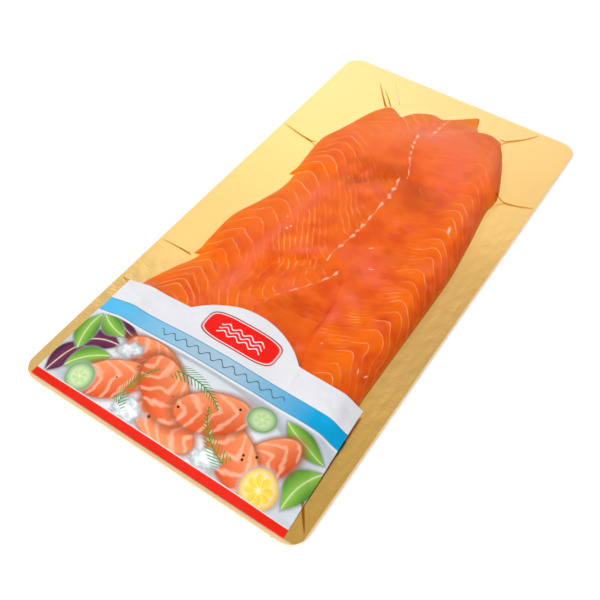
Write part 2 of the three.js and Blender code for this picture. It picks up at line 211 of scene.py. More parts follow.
def crown(across, along):
    """Height of the pile above its base: the product of one rounded shoulder per side,
    less a Gaussian hollow where two slices fold, plus a soft unevenness."""
    shoulders = (
        rise(across - PILE_LEFT.value(along), *LEFT_SHOULDER)
        * rise(PILE_RIGHT.value(along) - across, *RIGHT_SHOULDER)
        * rise(PILE_FAR.value(across) - along, *FAR_SHOULDER)
        * rise(along - PILE_NEAR, *NEAR_SHOULDER)
    )
    off_x = (across - HOLLOW["across"]) / HOLLOW["reach_x"]
    off_y = (along - HOLLOW["along"]) / HOLLOW["reach_y"]
    hollow = HOLLOW["depth"] * np.exp(-(off_x**2) - off_y**2)
    uneven = ripples(across, along, PILE_RIPPLES)
    return EDGE_THICKNESS + (PILE_HEIGHT - RIPPLE_ROOM - EDGE_THICKNESS) * shoulders - hollow + uneven


def side_edge(curve, outward, start, end, flare=0, covered_from=None, tuck=0):
    """A slice's long edge: the pile's side, flared out at the near corner by
    flare * exp(-distance / FLARE_LENGTH) and tucked in where another slice covers it."""
    def at(t):
        along = start + t * (end - start)
        flared = flare * np.exp((start - along) / FLARE_LENGTH)
        tucked = tuck * smoothstep(along, end if covered_from is None else covered_from, end + 1e-9)
        return np.stack([curve.value(along) + outward * (flared - tucked), along], axis=-1)
    return at


def straight_edge(start, end):
    """A slice's long edge as a straight line."""
    start, end = np.array(start, float), np.array(end, float)
    return lambda t: start + np.multiply.outer(t, end - start)


def outline(left, right, near, far):
    """The four edges of a slice, its cross edges running between the ends of the long ones."""
    (near_left, far_left), (near_right, far_right) = left(ENDS), right(ENDS)
    return {
        "left": left,
        "right": right,
        "near": Curve([near_left, *near, near_right], axis=0),
        "far": Curve([far_left, *far, far_right], axis=0),
    }


SLICES = {
    "slice_3": outline(
        side_edge(PILE_LEFT, -1, 19, 148, covered_from=118.5, tuck=7),
        side_edge(PILE_RIGHT, 1, 19, 174.5, covered_from=56, tuck=24),
        near=[(32, 15), (63.5, 13.5), (106, 13.5), (140, 15)],
        far=[(63.5, 159), (90, 180), (106, 183), (122, 179)],
    ),
    "slice_2": outline(
        side_edge(PILE_LEFT, -1, 119.5, 234, flare=4, covered_from=210.5, tuck=6),
        side_edge(PILE_RIGHT, 1, 59.5, 277.5, covered_from=262.5, tuck=6),
        near=[(36.5, 122), (54.5, 119.5), (65.5, 126), (76.5, 138), (89.5, 149.5), (101.5, 153.5),
              (111, 149), (116.5, 135.5), (119, 122), (121, 105), (124.5, 87), (131.5, 72),
              (146, 62.5)],
        far=[(63.5, 243.5), (87, 252), (102.5, 258.5), (125, 263.5)],
    ),
    "slice_tail": outline(
        straight_edge((70, 271), (65, 300.5)),
        straight_edge((123, 277.5), (118, 317)),
        near=[(95.5, 267)],
        far=[(70.5, 310), (78, 315), (84.5, 317), (90.5, 315.5), (97, 320.5), (106, 328.5),
             (111.5, 331.5), (114, 323.5)],
    ),
    "slice_1": outline(
        side_edge(PILE_LEFT, -1, 209.5, 303, flare=3.5),
        side_edge(PILE_RIGHT, 1, 265, 317),
        near=[(48.5, 219.5), (70, 224.5), (86, 232), (102.5, 241.5), (125, 247), (145, 255)],
        far=[(55.5, 306.5), (65, 301), (75, 293.5), (86.5, 286.5), (98, 290), (108, 302),
             (118, 315.5), (125.5, 319.5)],
    ),
}

# Which slice lies on each one, the edge of it that shows there, and 1 where it covers
# what is beyond that edge or -1 where it covers what comes before it.
COVERED_BY = {
    "slice_3": (SLICES["slice_2"]["near"], 1),
    "slice_2": (SLICES["slice_1"]["near"], 1),
    "slice_tail": (SLICES["slice_1"]["far"], -1),
}
LIES_ON = {"slice_2": ("slice_3",), "slice_1": ("slice_2", "slice_tail")}
LAPPED_EDGES = {"slice_2": ("near",), "slice_1": ("near",)}


def lap_depth(name, across, along):
    """Distance inside the slice above, measured from its edge: positive where covered."""
    edge, covers = COVERED_BY[name]
    nearest = np.full(across.shape, np.inf)
    for x, y in edge.at(np.linspace(0, 1, 201)):
        nearest = np.minimum(nearest, np.hypot(across - x, along - y))
    return np.where(covers * (along - edge.value(across)) > 0, nearest, -nearest)


def slice_top(name, across, along):
    """Top of a slice above the pile's base: it steps down by SLICE_STEP at the edge of the
    slice above, dives under it and climbs back to the crown away from it."""
    if name not in COVERED_BY:
        return np.maximum(crown(across, along), LEAST_HEIGHT)
    depth = lap_depth(name, across, along)
    step = SLICE_STEP * (1 - np.clip(-depth / STEP_RECOVERY, 0, 1)) ** 2
    dive = LAP_SLOPE * np.maximum(depth, 0)
    return np.maximum(crown(across, along) - step - dive, LEAST_HEIGHT)


def inside(name, across, along):
    """Rough distance of a place inside a slice, from its two long edges and its end."""
    edges = SLICES[name]
    sides = []
    for side, sign in (("left", 1), ("right", -1)):
        start, end = edges[side](ENDS)[:, 1]
        t = np.clip((along - start) / (end - start), 0, 1)
        sides.append(sign * (across - edges[side](t)[..., 0]))
    if name == "slice_tail":
        sides.append(along - edges["near"].value(across))
    else:
        sides.append(edges["far"].value(across) - along)
    return np.minimum.reduce(sides)


# ------------------------------------------------------------------ meshes


def slab(name, top, bottom, sharp_degrees=35, **attributes):
    """A closed body between two grids of points (rows along, columns across), joined by a
    wall all round. Attributes are numbers on the top grid, repeated on the bottom one."""
    rows, columns = top.shape[:2]
    upper = np.arange(rows * columns).reshape(rows, columns)
    lower = upper + rows * columns

    def quads(a, b, c, d):
        return np.stack([a, b, c, d], axis=-1).reshape(-1, 4)

    faces = np.concatenate([
        quads(upper[:-1, :-1], upper[:-1, 1:], upper[1:, 1:], upper[1:, :-1]),
        quads(lower[:-1, :-1], lower[1:, :-1], lower[1:, 1:], lower[:-1, 1:]),
        quads(upper[:-1, 0], upper[1:, 0], lower[1:, 0], lower[:-1, 0]),
        quads(upper[1:, -1], upper[:-1, -1], lower[:-1, -1], lower[1:, -1]),
        quads(upper[0, 1:], upper[0, :-1], lower[0, :-1], lower[0, 1:]),
        quads(upper[-1, :-1], upper[-1, 1:], lower[-1, 1:], lower[-1, :-1]),
    ])
    points = np.concatenate([top.reshape(-1, 3), bottom.reshape(-1, 3)])
    mesh = bpy.data.meshes.new(name)
    mesh.from_pydata(points.tolist(), [], faces.tolist())
    mesh.polygons.foreach_set("use_smooth", np.ones(len(faces), bool))
    mesh.set_sharp_from_angle(angle=math.radians(sharp_degrees))
    for key, values in attributes.items():
        values = np.broadcast_to(values, (rows, columns)).ravel()
        layer = mesh.attributes.new(key, "FLOAT", "POINT")
        layer.data.foreach_set("value", np.tile(values, 2).astype(np.float32))
    body = bpy.data.objects.new(name, mesh)
    bpy.context.scene.collection.objects.link(body)
    return body


def finish_piece(piece, material, slot, *replaced):
    """Dresses a piece, lets it ride on the pack and hides the solids that it stands for."""
    piece.data.materials.append(material)
    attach(piece, "root")
    if replaced:
        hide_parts(*replaced)
    return piece


# ------------------------------------------------------------------ flesh

# The white seam down the middle of each slice, where the fillet's two halves meet.
SEAMS = {
    "slice_3": Curve([(84, 60), (84, 100), (86, 110), (91, 119), (95, 125), (99.2, 131), (104, 139),
                      (108, 151), (110, 165)], axis=1),
    "slice_2": Curve([(96.5, 149), (97.5, 160), (100, 177), (101, 205), (101, 222), (98, 240),
                      (97, 255)], axis=1),
    "slice_1": Curve([(103.5, 236), (102.4, 241.5), (98.5, 252), (95.4, 257.7), (92.4, 264.6),
                      (88.2, 280), (86, 292)], axis=1),
    "slice_tail": Curve([(91, 268), (92.3, 280), (94.5, 293), (94.4, 303), (96, 320)], axis=1),
}

# How plain the seam is along the fish, where it isn't plain all the way.
SEAM_FADES = {"slice_3": [(100, 0.2), (118, 0.45), (131, 0.6), (134, 0.1), (138, 1)]}

# Fat layers fold over along these two lines, left and right of the seam.
TURN_LEFT = Curve([(35, 60), (36, 105), (39, 131), (38.7, 149), (41.3, 162), (43, 178), (43.3, 195),
                   (43.5, 214), (46, 231), (49, 245), (49, 265), (53, 275), (60, 283), (66, 300)], axis=1)
TURN_RIGHT = Curve([(141, 60), (142, 88), (143.5, 105), (148, 115), (149.5, 127), (151.5, 141),
                    (148.4, 160), (148, 178), (147, 195), (144.5, 210), (142.5, 235), (142, 250),
                    (139.5, 262), (135, 290), (128, 315)], axis=1)
# Where each layer crosses its fold line, along the fish; for the inner ones, the seam.
LINES = {
    "flank": [*range(-15, 80, 7), 85.5, 92.7, 97.7, 103, 110.4, 118, 128, 138.6, 149.4, 162, 174, 185.2,
              195.8, 206, 217, 227.6, 235.4, 243.9, 252.5, 260.9, 266.4, 275.6, 282, *range(291, 420, 9)],
    "inner": [*range(-133, 99, 9), *np.arange(101, 360, 5.6)],
    "shoulder": [*range(-15, 78, 9), 87.5, 94.5, 105.3, 114.8, 126.4, 134.6, 142.9, 151.6, 160.3, 167.8,
                 177.2, 188.7, 197.8, 206, 215.1, 224.5, 233.8, 241, 250.4, 260.9, *range(270, 420, 10)],
}
# How the layers waver: height, wavelength and seed.
LAYER_RIPPLES = [(0.6, 15, 3), (0.3, 5, 4)]
FLANK_REACH = 16  # how far right of their fold line the flank's layers run
# How strongly a slice shows its inner layers and the level ones right of the seam.
INNER_SHOW = {"slice_3": 1.0, "slice_2": 0.9, "slice_1": 0.45, "slice_tail": 0.15}
LEVEL_SHOW = {"slice_3": 0.12, "slice_2": 0.12, "slice_1": 0.1, "slice_tail": 0.1}


def rounded(distance, radius):
    """|distance| with its corner rounded off: sqrt(d^2 + r^2) - r."""
    return np.sqrt(distance**2 + radius**2) - radius


def count_layers(family, distance, across, along):
    """Number of layers up to a distance along the fish, which wavers a little. A line of fat
    lies where half a layer is over."""
    waver = ripples(across, along, LAYER_RIPPLES)
    return np.interp(distance + waver, LINES[family], np.arange(len(LINES[family]))) + 0.5


def flank_layers(name, across, along):
    """On the left flank: roof lines that climb from the side to a peak at the fold line and
    fall ever more steeply beyond it, by a rounded slope plus a square."""
    off = across - TURN_LEFT.value(along)
    fall = np.where(off < 0, 1.3, 0.6) * rounded(off, 2) + 0.011 * np.maximum(off, 0) ** 2
    return count_layers("flank", along + fall, across, along)


def inner_layers(name, across, along):
    """Between flank and seam: lines that fall in proportion towards the seam and hook up
    as they meet it, by a Gaussian."""
    to_seam = np.maximum(SEAMS[name].value(along) - across, 0)
    hook = 7 * np.exp(-((to_seam / 6) ** 2))
    return count_layers("inner", along - 1.4 * to_seam - hook, across, along)


def shoulder_layers(name, across, along):
    """On the right half: nearly level from the seam, then an exponential climb to a peak near
    the side and a steep drop over the shoulder, by a rounded slope plus a square."""
    off = across - TURN_RIGHT.value(along)
    bent = rounded(off, 2.5)
    fall = np.where(off > 0, 1.25 * bent + 0.04 * off**2, 20 * (1 - np.exp(-0.05 * bent)))
    return count_layers("shoulder", along + fall, across, along)


FAMILIES = {"flank": flank_layers, "inner": inner_layers, "shoulder": shoulder_layers}


def layer_gap(layers, name, across, along):
    """Millimetres from one fat layer to the next, measured square to them: one over the
    slope of their count."""
    here = layers(name, across, along)
    step = 0.2
    slope_x = (layers(name, across + step, along) - here) / step
    slope_y = (layers(name, across, along + step) - here) / step
    return 1 / np.maximum(np.hypot(slope_x, slope_y), 1e-3)


# Where the flesh looks brighter, golden, rosy or redder, and where it is darker: partly deeper-coloured
# thick flesh, partly painted shade in the hollow where two slices fold and down the pile's right wall.
# Each spot: across, along, reach along a spot's own two axes, its turn in degrees and how much.
TINTS = {
    "bright": [
        (122, 285, 34, 30, 0, 0.9), (68, 280, 22, 22, 0, 0.7), (57, 186, 8, 8, 0, 0.5),
        (92, 300, 16, 14, 0, 0.6),
    ],
    "golden": [
        (82, 140.6, 10.5, 2.8, 35, 1), (73, 157.6, 9, 3.2, 46, 1), (69.7, 175, 5.5, 3.5, 50, 0.9),
        (68.3, 186, 7, 2.8, 58, 0.8), (69, 214, 2.5, 6, 0, 0.5), (69.5, 225.5, 4, 2.5, 75, 0.6),
        (70.5, 245, 5, 2.5, 40, 0.8), (80, 108, 12, 9, 0, 0.5), (32, 142, 4, 14, 0, 0.7),
        (37, 165, 4, 14, 10, 0.6), (131, 108, 8, 6, 0, 1), (134.5, 127, 6, 4.5, 0, 1),
        (144, 153, 7, 4, 35, 0.9), (139.5, 172.5, 6, 4, 35, 0.9), (141, 185.5, 5, 4, 35, 0.8),
        (137, 192, 5, 3, 35, 0.7), (143.5, 99, 4, 4, 0, 0.8), (58.5, 255.5, 5, 5, 0, 0.7),
        (82, 192.5, 9, 3, 30, 0.6), (69, 97, 6, 6, 0, 0.5), (46, 103, 5, 4, 0, 0.6), (26, 95, 5, 5, 0, 0.7),
        (88, 175, 12, 3.5, 35, 0.5), (110, 205, 16, 6, 20, 0.4), (86, 309, 14, 4, 0, 0.6),
        (41, 116, 6, 8, 0, 0.4), (73, 162, 7, 5, 30, 0.4),
    ],
    "rosy": [
        (59, 150, 4.5, 45, -3, 0.75), (84, 153.5, 13, 2.8, 35, 0.9), (61, 203, 7, 10, 0, 0.6),
        (45, 204, 5, 6, 0, 0.4), (88, 218.5, 11, 4, 25, 0.6), (54, 186, 5, 9, 0, 0.4),
        (92, 292, 14, 10, 0, 0.5), (110, 286, 14, 12, 0, 0.5), (123, 120, 3, 6, -10, 0.9),
        (122.5, 136, 7, 6, 0, 0.6), (117, 165, 14, 9, 0, 0.6), (126.5, 155, 10, 5, 0, 0.6),
        (61, 112, 4.5, 14, 0, 0.7), (90.5, 125.5, 6, 5, 0, 0.5), (128, 262, 16, 26, 0, 0.6),
        (77, 231, 5, 2.5, 40, 0.7), (64.7, 226.7, 2.5, 4, 0, 0.5), (45, 150, 5, 16, 0, 0.35),
        (150, 232, 7, 14, 0, 0.5), (155, 188, 4, 10, 0, 0.4), (148, 180, 3, 5, 0, 0.6),
    ],
    "crimson": [
        (118.8, 121, 1.2, 4, 8, 1), (119.8, 109, 1.2, 5, -5, 1), (148, 134, 2.6, 5, -15, 0.9),
        (151, 122, 3, 8, -15, 1), (153.5, 107, 2.6, 7, -8, 0.9), (158, 94.5, 3, 4, 0, 0.9),
        (105, 98, 14, 5, -10, 0.4),
    ],
    # Painted shade, with darker thick flesh: spots in the hollow and lap where the slices fold, and a long
    # strip down the pile's right wall.
    "deep_flesh_and_shade": [
        (68, 241.5, 10, 3, 40, 0.75), (80.5, 226.5, 9, 2.6, 42, 0.65), (87, 241, 12, 7, 20, 0.8),
        (112, 235, 11, 8, 0, 0.7), (131, 232, 9, 6, 0, 0.3), (162.5, 150, 4, 62, 0, 0.6),
        (105, 112, 12, 10, 0, 0.3), (96, 243, 10, 6, 0, 0.5), (33, 90, 3, 5, -30, 0.5),
        (149, 90, 6, 10, 0, 0.6), (117, 221, 11, 8, 0, 0.5), (72, 222, 9, 6, 30, 0.55),
        (88, 232, 8, 5, 20, 0.4), (74, 239, 6, 4, 40, 0.3), (51, 218, 6, 6, 0, 0.5), (47, 236, 5, 6, 0, 0.25),
    ],
}
# Bright specks: some are flecks of fat, some are painted glints of sheen on the wet flesh.
# Each: across, along, half length, half width and turn.
SPECKS_AND_GLINTS = [
    (63, 162.6, 0.9, 0.7, 0), (64, 165.4, 0.8, 0.6, 40), (57, 172, 0.7, 0.4, 0), (146, 215.5, 3, 0.8, 105),
    (114.4, 237, 0.4, 0.4, 0), (117.1, 234.4, 0.4, 0.4, 0), (114.5, 176, 1.4, 0.35, 40),
    (123, 161.7, 1.6, 0.35, 30), (128, 101, 0.6, 0.3, 60), (163.5, 102, 0.7, 0.3, 70),
    (153.6, 96.8, 1.6, 0.25, 110), (158.1, 97.6, 1.3, 0.3, 70),
]


def places(spots, across, along):
    """Sum of Gaussian spots, exp(-u^2 - v^2) in units of their reach, held below 1."""
    total = np.zeros(across.shape)
    for x, y, reach_u, reach_v, turn, amount in spots:
        cosine, sine = math.cos(math.radians(turn)), math.sin(math.radians(turn))
        u = ((across - x) * cosine + (along - y) * sine) / reach_u
        v = ((along - y) * cosine - (across - x) * sine) / reach_v
        total += amount * np.exp(-(u**2) - v**2)
    return np.minimum(total, 1)


def flesh_fields(name, across, along, thickness):
    """What the flesh's pattern follows, as numbers on the slice's grid. Each family of layers
    fades in and out by smoothsteps over a few mm from the fold lines and the seam."""
    seam = SEAMS[name]
    to_seam = across - seam.value(along)
    off_left = across - TURN_LEFT.value(along)
    off_right = TURN_RIGHT.value(along) - across
    tints = {tint: places(spots, across, along) for tint, spots in TINTS.items()}
    level = LEVEL_SHOW[name]
    shows = {
        "flank": (0.2 + 0.65 * smoothstep(off_left, -13, -4)) * (1 - smoothstep(off_left, 10, 20)),
        "inner": INNER_SHOW[name] * smoothstep(off_left, 12, 19) * (0.35 + 0.65 * tints["golden"]),
        "shoulder": (1 - (1 - level) * smoothstep(off_right, 1, 10))
        * (1 - 0.8 * smoothstep(-off_right, 3, 10)) * (1 - 0.5 * smoothstep(along, 215, 262)),
        "level": tints["golden"] * smoothstep(off_right, 1, 5),
    }
    fields = {
        "seam_across": to_seam,
        "seam_along": along,
        "seam_show": smoothstep(along, seam.knots[0], seam.knots[0] + 1)
        * (1 - smoothstep(along, seam.knots[-1] - 1, seam.knots[-1]))
        * np.interp(along, *zip(*SEAM_FADES.get(name, [(0, 1)]))),
        "thin": 1 - smoothstep(thickness, 1.0, 4.5),
        **tints,
    }
    for family, function in FAMILIES.items():
        fields[family + "_phase"] = function(name, across, along)
        fields[family + "_gap"] = layer_gap(function, name, across, along)
    left_of_seam = np.where(off_left < FLANK_REACH, fields["flank_phase"], fields["inner_phase"])
    fields["grain_phase"] = np.where(to_seam > 0, fields["shoulder_phase"], left_of_seam)
    grain = smoothstep(np.abs(to_seam), 0.5, 2) * smoothstep(np.abs(off_left - FLANK_REACH), 0.5, 3)
    smooth_part = np.where(to_seam > 0, 0.65, 0.3) * (1 - tints["golden"])
    fields["grain_show"] = grain * (1 - smooth_part)
    for family, show in shows.items():
        side = to_seam if family in ("shoulder", "level") else -to_seam
        fields[family + "_show"] = show * smoothstep(side, 0.2, 1.5)
    return fields


MUSCLE_RELIEF = 0.07


def flesh_relief(fields):
    """Bands of muscle stand a little proud between the layers of fat: the sum over the
    families of MUSCLE_RELIEF * show * cos(2 pi phase), deepest on the layers."""
    return sum(MUSCLE_RELIEF * fields[family + "_show"] * np.cos(2 * math.pi * fields[family + "_phase"])
               for family in FAMILIES)


def stations(length, pitch):
    """Fractions of a length: close together over both rims, then even."""
    rim = np.array(RIM_STATIONS) / length
    count = max(int((length - 2 * RIM_RADIUS) / pitch), 8)
    middle = np.linspace(rim[-1], 1 - rim[-1], count)[1:-1]
    return np.concatenate([rim, middle, 1 - rim[::-1]])


def patch(edges, u, v):
    """The Coons patch of four edges: the blend of the near and far edges plus that of the
    left and right ones, less the blend of the corners."""
    near, far = edges["near"].at(u)[None], edges["far"].at(u)[None]
    left, right = edges["left"](v)[:, None], edges["right"](v)[:, None]
    u, v = u[None, :, None], v[:, None, None]
    corners = (
        near[:, :1] * (1 - u) * (1 - v) + near[:, -1:] * u * (1 - v)
        + far[:, :1] * (1 - u) * v + far[:, -1:] * u * v
    )
    return near * (1 - v) + far * v + left * (1 - u) + right * u - corners


def rim_fall(distance, radius):
    """Fall of a quarter circle towards an edge: r - sqrt(r^2 - (r - distance)^2)."""
    return radius - np.sqrt(radius**2 - (radius - np.clip(distance, 0, radius)) ** 2)


def rim_drop(grid, thickness, laps):
    """Fall of a slice's top towards its edges: a quarter circle over a cut edge; where the
    slice laps on another it thins to nothing, thickness * (1 - d / LAP_REACH)^2."""
    steps_x = np.linalg.norm(np.diff(grid, axis=1), axis=-1)
    steps_y = np.linalg.norm(np.diff(grid, axis=0), axis=-1)
    from_left = np.pad(np.cumsum(steps_x, axis=1), ((0, 0), (1, 0)))
    from_near = np.pad(np.cumsum(steps_y, axis=0), ((1, 0), (0, 0)))
    edges = {"left": from_left, "right": from_left[:, -1:] - from_left,
             "near": from_near, "far": from_near[-1:] - from_near}
    to_cut = np.minimum.reduce([distance for side, distance in edges.items() if side not in laps])
    drop = rim_fall(to_cut, np.minimum(RIM_RADIUS, RIM_SHARE * thickness))
    for side in laps:
        wedge = (thickness + LAP_SINK) * (1 - np.clip(edges[side] / LAP_REACH, 0, 1)) ** 2
        drop = np.maximum(drop, wedge)
    return drop


# Grid spacing on each slice, finer on the two smaller ones.
SLICE_PITCH = {"slice_3": 0.85, "slice_2": 0.85, "slice_1": 0.6, "slice_tail": 0.6}


def slice_body(name):
    """One slice as a closed body. Its top is the pile's, with a rounded rim and the relief
    of its muscle; its underside lies on the board or on the slices below."""
    edges = SLICES[name]
    near_left, far_left = edges["left"](ENDS)
    length = np.linalg.norm(far_left - near_left)
    width = edges["near"].knots[-1] - edges["near"].knots[0]
    pitch = SLICE_PITCH[name]
    grid = patch(edges, stations(width, pitch), stations(max(length, width * 0.7), pitch))
    across, along = grid[..., 0], grid[..., 1]
    top = PILE_BASE + slice_top(name, across, along)
    bottom = np.full(across.shape, BOARD_TOP + TOUCH)
    for lower in LIES_ON.get(name, ()):
        depth = inside(lower, across, along)
        over = smoothstep(depth, *LAP_CLIMB)
        lower_top = PILE_BASE + slice_top(lower, across, along) - rim_fall(depth, RIM_RADIUS) + LAP_TOUCH
        bottom = np.maximum(bottom, bottom + (lower_top - bottom) * over)
    bottom = np.minimum(bottom, top - THIN_BODY)
    fields = flesh_fields(name, across, along, top - BOARD_TOP)
    bare = 1.0
    if name in COVERED_BY:
        bare = 1 - smoothstep(lap_depth(name, across, along), *RELIEF_FADE)
    drop = rim_drop(grid, top - bottom, LAPPED_EDGES.get(name, ()))
    bare = bare * (1 - smoothstep(drop, 0, 0.6 * (top - bottom)))
    top = top + flesh_relief(fields) * bare - drop
    bottom = np.minimum(bottom, top - THIN_RIM)
    return slab(name + "_flesh", place(across, along, top), place(across, along, bottom), 60, **fields)


# ------------------------------------------------------------------ label


def label_top_line(across):
    """Straight, with a round arch over the middle: the circle through the arch's two feet
    and its crown."""
    half = (ARCH_RIGHT - ARCH_LEFT) / 2
    radius = (half**2 + ARCH_RISE**2) / (2 * ARCH_RISE)
    from_middle = np.minimum(np.abs(across - ARCH_LEFT - half), half)
    return LABEL_TOP + np.sqrt(radius**2 - from_middle**2) - (radius - ARCH_RISE)


def label_body(slices):
    """The label: a grid between its two sides, its near end and its top line, draped over
    the pile. It has the slight cockling of paper that has been drawn down, a crease,
    height * exp(-|distance| / reach), and a wave, height * exp(-(distance / reach)^2)."""
    columns = int((LABEL_RIGHT[0] - LABEL_LEFT[0]) / LABEL_PITCH)
    rows = int((LABEL_TOP + ARCH_RISE / 2) / LABEL_PITCH)
    u, v = np.meshgrid(np.linspace(0, 1, columns), np.linspace(0, 1, rows))
    left = LABEL_LEFT[0] + v * (LABEL_LEFT[1] - LABEL_LEFT[0])
    right = LABEL_RIGHT[0] + v * (LABEL_RIGHT[1] - LABEL_RIGHT[0])
    across = left + u * (right - left)
    along = LABEL_NEAR + v * (label_top_line(across) - LABEL_NEAR)
    cockle = COCKLE["height"] * (1 + ripple(across, along, COCKLE["wavelength"], seed=21))
    cockle = cockle + FINE_COCKLE["height"] * ripple(across, along, FINE_COCKLE["wavelength"], seed=22)
    off_crease = across - CREASE["across"] + CREASE["lean"] * (along - CREASE["lean_from"])
    crease = CREASE["height"] * np.exp(-np.abs(off_crease) / CREASE["reach"])
    crease = crease * smoothstep(along, *CREASE["grows"])
    off_wave = (across - LABEL_WAVE["across"]) / LABEL_WAVE["reach"]
    wave = LABEL_WAVE["height"] * np.exp(-(off_wave**2)) * smoothstep(along, *LABEL_WAVE["grows"])
    drape = sample(drawn_sheet(slices, LABEL_DRAW_STEPS), across, along) + wave
    bottom = drape + np.maximum(cockle + crease, 0)
    return slab("label_sheet", place(across, along, bottom + LABEL_STOCK), place(across, along, bottom))


# ------------------------------------------------------------------ board and film


def rounded_sheet(inset, pitch):
    """Grid over a rectangle with round corners: rows run along, and a row's columns share
    out its width, which shrinks as sqrt(r^2 - d^2) over the corners."""
    half_x, half_y = BOARD_WIDTH / 2 - inset, BOARD_LENGTH / 2 - inset
    radius = BOARD_CORNER_RADIUS - inset
    turn = np.linspace(0, math.pi / 2, 12)[:-1]
    corner = half_y - radius + radius * np.cos(turn)
    straight = np.linspace(half_y - radius, radius - half_y, int(2 * (half_y - radius) / pitch))
    y = np.concatenate([corner, straight, -corner[::-1]])[::-1]
    beyond = np.maximum(np.abs(y) - (half_y - radius), 0)
    half_width = half_x - radius + np.sqrt(np.maximum(radius**2 - beyond**2, 0))
    share = np.linspace(-1, 1, int(2 * half_x / pitch))
    nicks = [(nick - BOARD_WIDTH / 2 + side) / half_width[0] for nick in NICKS_ACROSS
             for side in (-NICK_WIDTH / 2, 0, NICK_WIDTH / 2)]
    share = np.unique(np.concatenate([share, nicks]))
    across = BOARD_WIDTH / 2 + share[None] * half_width[:, None]
    along = np.broadcast_to(BOARD_LENGTH / 2 + y[:, None], across.shape)
    return across, along


def foil_crinkle(across, along):
    """How crinkled the laminate is: most beside the label and down the right margin."""
    right = smoothstep(across, BOARD_WIDTH - 26, BOARD_WIDTH - 10) * (1 - smoothstep(along, 220, 290))
    near_left = 1.5 * (1 - smoothstep(across, 12, 30)) * (1 - smoothstep(along, 70, 130))
    return 0.1 + 0.9 * np.maximum(right, near_left)


def foil_painted_reflection(across, along):
    """How much brighter the foil's colour is painted on the left margin and how much duller on the right one:
    painted reflection.
    """
    bright = (1 - smoothstep(across, 14, 34)) * (1 - smoothstep(along, 110, 170))
    painted_dull_reflection = smoothstep(across, 150, 165) * np.exp(-(((along - 165) / 60) ** 4))
    return {"bright": bright, "painted_dull_reflection": painted_dull_reflection}


def board_body():
    """The board: a rounded sheet with two nicks torn into its front edge and the faint
    relief of its laminate."""
    across, along = rounded_sheet(0, BOARD_PITCH)
    nick = sum(np.clip(1 - np.abs(across - n) / (NICK_WIDTH / 2), 0, 1) for n in NICKS_ACROSS)
    along = along + nick * NICK_DEPTH * np.clip(1 - along / (2 * NICK_DEPTH), 0, 1)
    crinkle = foil_crinkle(across, along)
    wrinkles = ripple(across, along, FOIL_WAVELENGTH, seed=31, stretch=1.8)
    top = BOARD_TOP + FOIL_RELIEF * crinkle * wrinkles
    for rim in (np.s_[0], np.s_[-1], np.s_[:, 0], np.s_[:, -1]):
        top[rim] = BOARD_TOP - BOARD_RIM_FALL
    return slab("board_laminate", place(across, along, top), place(across, along, 0 * top),
                crinkle=crinkle, **foil_painted_reflection(across, along))


def contents_height(bodies):
    """Highest point of the bodies in each cell of a lattice over the board."""
    cells_x = int(BOARD_WIDTH / FILM_PITCH) + 2
    cells_y = int(BOARD_LENGTH / FILM_PITCH) + 2
    lattice = np.full((cells_y, cells_x), BOARD_TOP + TOUCH)
    for body in bodies:
        points = np.empty(len(body.data.vertices) * 3)
        body.data.vertices.foreach_get("co", points)
        x, y, z = points.reshape(-1, 3).T / MM
        column, row = (np.rint((position + size / 2) / FILM_PITCH).astype(int)
                       for position, size in ((x, BOARD_WIDTH), (y, BOARD_LENGTH)))
        np.maximum.at(lattice, (row, column), z)
    return lattice


def neighbours(lattice):
    """The nine shifts of a lattice by up to one cell."""
    padded = np.pad(lattice, 1, mode="edge")
    rows, columns = lattice.shape
    return [padded[i:i + rows, j:j + columns] for i in range(3) for j in range(3)]


def drawn_sheet(bodies, steps):
    """Height of the underside of a sheet drawn down over bodies: it stands on the highest
    point of each cell and its neighbours and is relaxed in steps, each cell becoming the
    mean of its neighbours wherever that is higher. Two last plain means smooth it."""
    support = np.maximum.reduce(neighbours(contents_height(bodies)))
    sheet = support
    for _ in range(steps):
        sheet = np.maximum(support, sum(neighbours(sheet)) / 9)
    for _ in range(2):
        sheet = sum(neighbours(sheet)) / 9
    return sheet


def sample(lattice, across, along):
    """Bilinear value of a lattice at any place on the board."""
    x, y = across / FILM_PITCH, along / FILM_PITCH
    column = np.clip(np.floor(x).astype(int), 0, lattice.shape[1] - 2)
    row = np.clip(np.floor(y).astype(int), 0, lattice.shape[0] - 2)
    s, t = x - column, y - row
    near = lattice[row, column] * (1 - s) + lattice[row, column + 1] * s
    far = lattice[row + 1, column] * (1 - s) + lattice[row + 1, column + 1] * s
    return near * (1 - t) + far * t


def film_body(lattice):
    """The clear film over everything: one thin sheet, sealed down round its border."""
    across, along = rounded_sheet(FILM_INSET, FILM_PITCH)
    bottom = sample(lattice, across, along) + TOUCH / 2
    return slab("film_sheet", place(across, along, bottom + FILM_THICKNESS), place(across, along, bottom))


# Tension pleats, the film's folds from the pile out towards the board's edge: the film they
# are of, their width and height, and the path they run along. The tinted film darkens the gold
# beneath into painted shade along each fold; the other film paints a white highlight line.
PLEATS = [
    ("doubled", 1.4, 0.6, [(52, 304), (43, 315), (33, 327.5)]),
    ("doubled", 1, 0.4, [(54, 307), (47.5, 315), (40, 323)]),
    ("single", 0.7, 0.25, [(57, 314.5), (48.5, 326), (41, 336.5)]),
    ("doubled", 1.4, 0.6, [(30.5, 244.5), (15.5, 247), (2, 250)]),
    ("doubled", 1.4, 0.6, [(133.5, 318.5), (141, 326), (147, 332.5), (152.5, 340.5)]),
    ("doubled", 1.4, 0.6, [(154.5, 265.5), (167.5, 268.5), (178.5, 273)]),
    ("doubled", 1, 0.35, [(23.5, 117.5), (12, 117.8), (2, 117.5)]),
    ("doubled", 1, 0.35, [(8, 80), (5, 80.3), (2, 81)]),
    ("doubled", 1.6, 0.6, [(168.5, 22), (173, 16), (177.5, 10)]),
]
PLEAT_TAPER = 0.75  # share of its width and height that a pleat loses on its way out
PLEAT_SKIN = 0.03  # thickness where it lies flat


